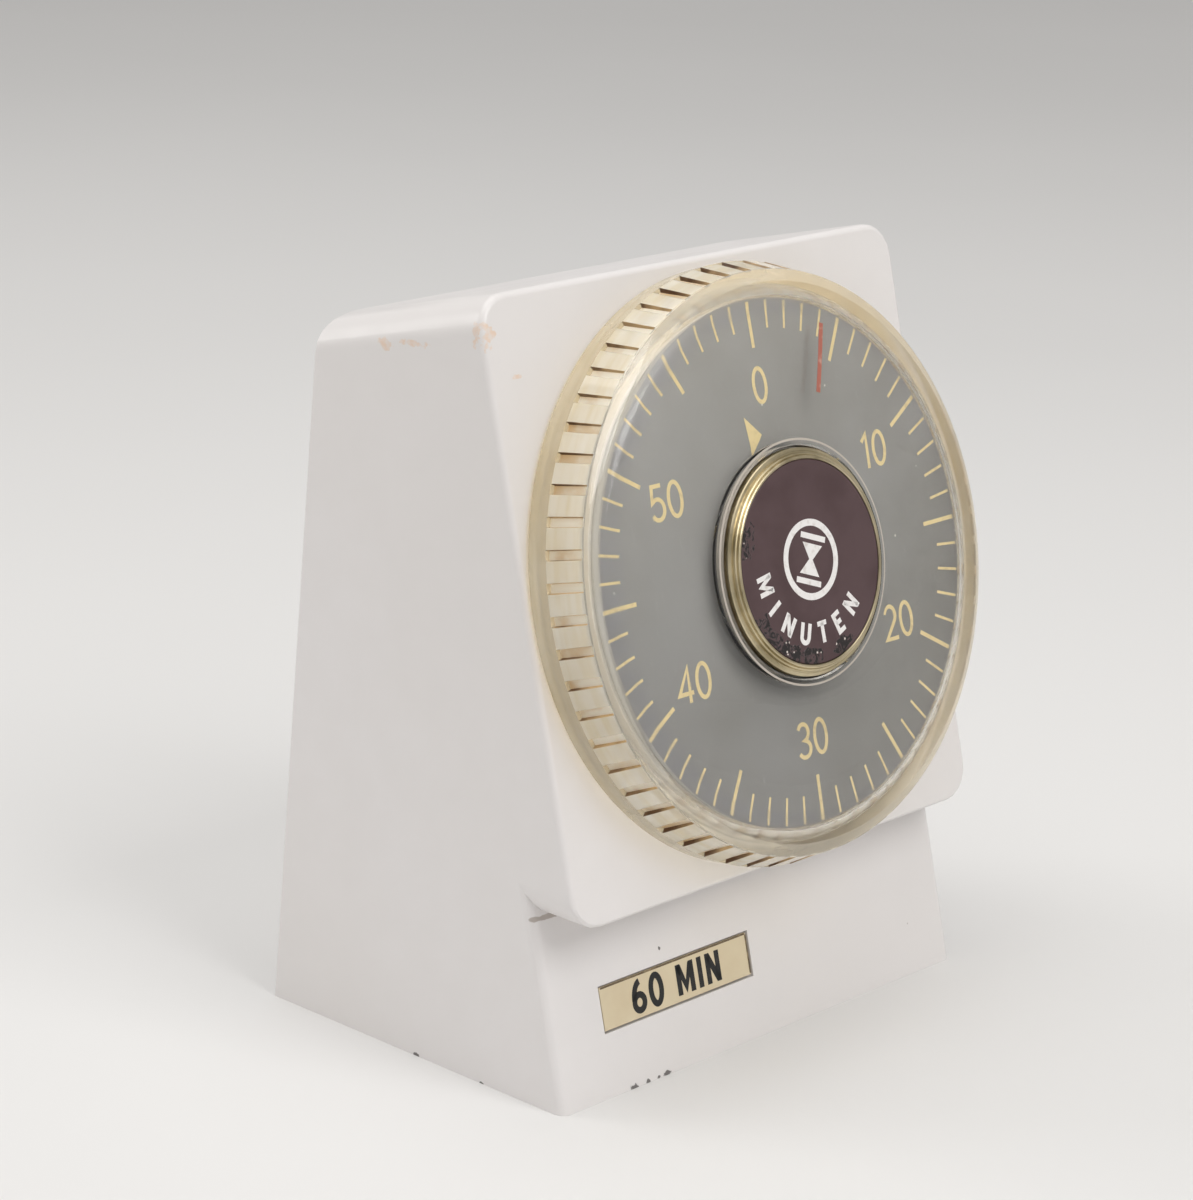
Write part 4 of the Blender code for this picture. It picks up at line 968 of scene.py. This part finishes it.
def make_hub():
    """The brass cap's stepped ring, the dark label in it, and the white print on the label."""
    ring = revolve("hub_ring", hub_ring_rows(), 160)
    smooth(ring, 25)
    gold = metal("hub_brass", (0.68, 0.59, 0.40), (0.30, 0.25, 0.14), 0.33)
    settle(show("hub_ring", ring, [gold]), "knob", "brass", "hub_cap")
    label = revolve("hub_disc", label_rows(), 128)
    smooth(label, 30)
    settle(show("hub_disc", label, [hub_paint()]), "knob", "maroon_label", "hub_label")
    white = ink("white_ink", (0.86, 0.84, 0.82), (0.70, 0.66, 0.63), 0.4)
    height = LABEL_HEIGHT + PRINT_THICKNESS
    lettering = joined("hub_lettering", hub_word("MINUTEN", height) + hub_mark(height))
    settle(show("hub_lettering", lettering, [white]), "knob", "white_plastic")


def hub_word(word, height):
    """A word round the lower part of the label, turned with the knob."""
    strips = []
    for i, character in enumerate(word):
        at = HUB_WORD_MIDDLE + HUB_WORD_SPACING * ((len(word) - 1) / 2 - i)
        place = clockwise(at, HUB_WORD_RADIUS)
        strips += letter(character, place, 2.85 * MM, 0.68 * MM, height, math.radians(180 - at), 1.2)
    return strips


def hub_mark(height):
    """A plain hourglass in a ring, turned with the knob."""
    circle = bow(0.0, HUB_MARK_LIFT, HUB_MARK_RADIUS, HUB_MARK_RADIUS, 0, 360, 64)[:-1]
    strips = [ribbon(circle, 0.95 * MM, height, True)]
    half_width, half_height, bar, waist = 2.5 * MM, 3.5 * MM, 0.8 * MM, 0.35 * MM
    for side in (-1, 1):
        outer, inner = side * half_height, side * (half_height - bar)
        cap = [(-half_width, outer), (half_width, outer), (half_width, inner), (-half_width, inner)]
        bulb_top = side * (half_height - 1.35 * MM)
        bulb = [(-0.8 * half_width, bulb_top), (0.8 * half_width, bulb_top), (waist, 0.0), (-waist, 0.0)]
        for outline in (cap, bulb):
            turned_outline = [turned(x, y, -math.degrees(REST_TURN)) for x, y in outline]
            strips.append(slab([(x, y + HUB_MARK_LIFT) for x, y in turned_outline], height))
    return strips


def turned(x, y, degrees):
    """The point turned anticlockwise about the origin."""
    angle = math.radians(degrees)
    return (x * math.cos(angle) - y * math.sin(angle), x * math.sin(angle) + y * math.cos(angle))


# What stays as the CAD has it --------------------------------------------------------------------------


def make_small_parts():
    """Screws get rounded edges. The movement keeps its CAD shapes and gets worked metal."""
    steel = metal("worked_steel", (0.56, 0.56, 0.57), (0.30, 0.29, 0.28), 0.36)
    brass = metal("worked_brass", (0.76, 0.60, 0.30), (0.45, 0.33, 0.15), 0.34)
    blued = metal("blued_spring_steel", (0.08, 0.11, 0.22), (0.05, 0.05, 0.09), 0.33)
    zinc = metal("plated_screw", (0.62, 0.61, 0.60), (0.36, 0.33, 0.29), 0.33)
    finishes = {"brass": brass, "blued_steel": blued, "steel": steel}
    made_above = {"housing", "rear_cover", "bottom_plate", "name_plate", "dial_carrier", "dial_disc"}
    made_above |= {"time_knob", "hub_cap", "hub_label"}
    for piece in frame["record"]["subparts"]:
        node = piece["node"]
        if node.startswith(("rear_screw", "floor_screw")):
            softened(node, "case", "steel", zinc, 0.12 * MM, 2)
        elif node not in made_above:
            for slot in frame["nodes"][node].material_slots:
                slot.material = finishes[piece["material_slot"]]


# The studio -----------------------------------------------------------------------------------------


def make_floor():
    half = 6.0
    corners = [(-half, -half, 0), (half, -half, 0), (half, half, 0), (-half, half, 0)]
    mesh = mesh_of("studio_floor", corners, [(0, 1, 2, 3)])
    made = Surface("pale_floor", (0.80, 0.795, 0.785), 0.6)
    made.base(made.mix(made.ramp(made.noise(3.0), 0.3, 0.7), (0.81, 0.805, 0.795), (0.79, 0.785, 0.775)))
    show("studio_floor", mesh, [made.material], Matrix.Identity(4))


def add_lamp(name, place, size, power, colour=(1.0, 1.0, 1.0)):
    """A square softbox that faces the timer."""
    data = bpy.data.lights.new(name, "AREA")
    data.shape = "SQUARE"
    data.size = size
    data.energy = power
    data.color = colour
    lamp = bpy.data.objects.new(name, data)
    lamp.location = place
    aim = Vector((0.0, 0.0, 0.06)) - lamp.location
    lamp.rotation_euler = aim.to_track_quat("-Z", "Y").to_euler()
    bpy.context.scene.collection.objects.link(lamp)


def make_light():
    add_lamp("top_softbox", (-0.10, 0.05, 0.90), 0.7, 3.0, (1.0, 0.99, 0.98))
    add_lamp("back_left_softbox", (-0.55, 0.80, 0.46), 0.45, 2.0, (1.0, 0.98, 0.96))
    add_lamp("front_softbox", (0.0, -0.80, 0.85), 0.6, 5.0, (1.0, 0.99, 0.98))
    world = bpy.data.worlds.new("studio")
    world.use_nodes = True
    background = world.node_tree.nodes["Background"]
    background.inputs["Color"].default_value = (0.90, 0.885, 0.87, 1.0)
    background.inputs["Strength"].default_value = 0.5
    bpy.context.scene.world = world


def make_camera():
    data = bpy.data.cameras.new("camera")
    data.lens = CAMERA_LENS
    data.sensor_width = CAMERA_SENSOR
    data.clip_start = 0.01
    data.clip_end = 50.0
    camera = bpy.data.objects.new("camera", data)
    backward = Vector(
        (
            math.sin(CAMERA_AZIMUTH) * math.cos(CAMERA_ELEVATION),
            -math.cos(CAMERA_AZIMUTH) * math.cos(CAMERA_ELEVATION),
            math.sin(CAMERA_ELEVATION),
        )
    )
    level = Vector((0.0, 0.0, 1.0)).cross(backward).normalized()
    upright = backward.cross(level)
    sideways = math.cos(CAMERA_ROLL) * level + math.sin(CAMERA_ROLL) * upright
    up = math.cos(CAMERA_ROLL) * upright - math.sin(CAMERA_ROLL) * level
    columns = Matrix((sideways, up, backward)).transposed().to_4x4()
    camera.matrix_world = Matrix.Translation(CAMERA_PLACE) @ columns
    bpy.context.scene.collection.objects.link(camera)
    bpy.context.scene.camera = camera


make_case()
make_name_plate()
make_dial()
make_knob()
make_hub()
make_small_parts()
make_floor()
make_light()
make_camera()
bpy.context.scene.view_settings.view_transform = "Standard"
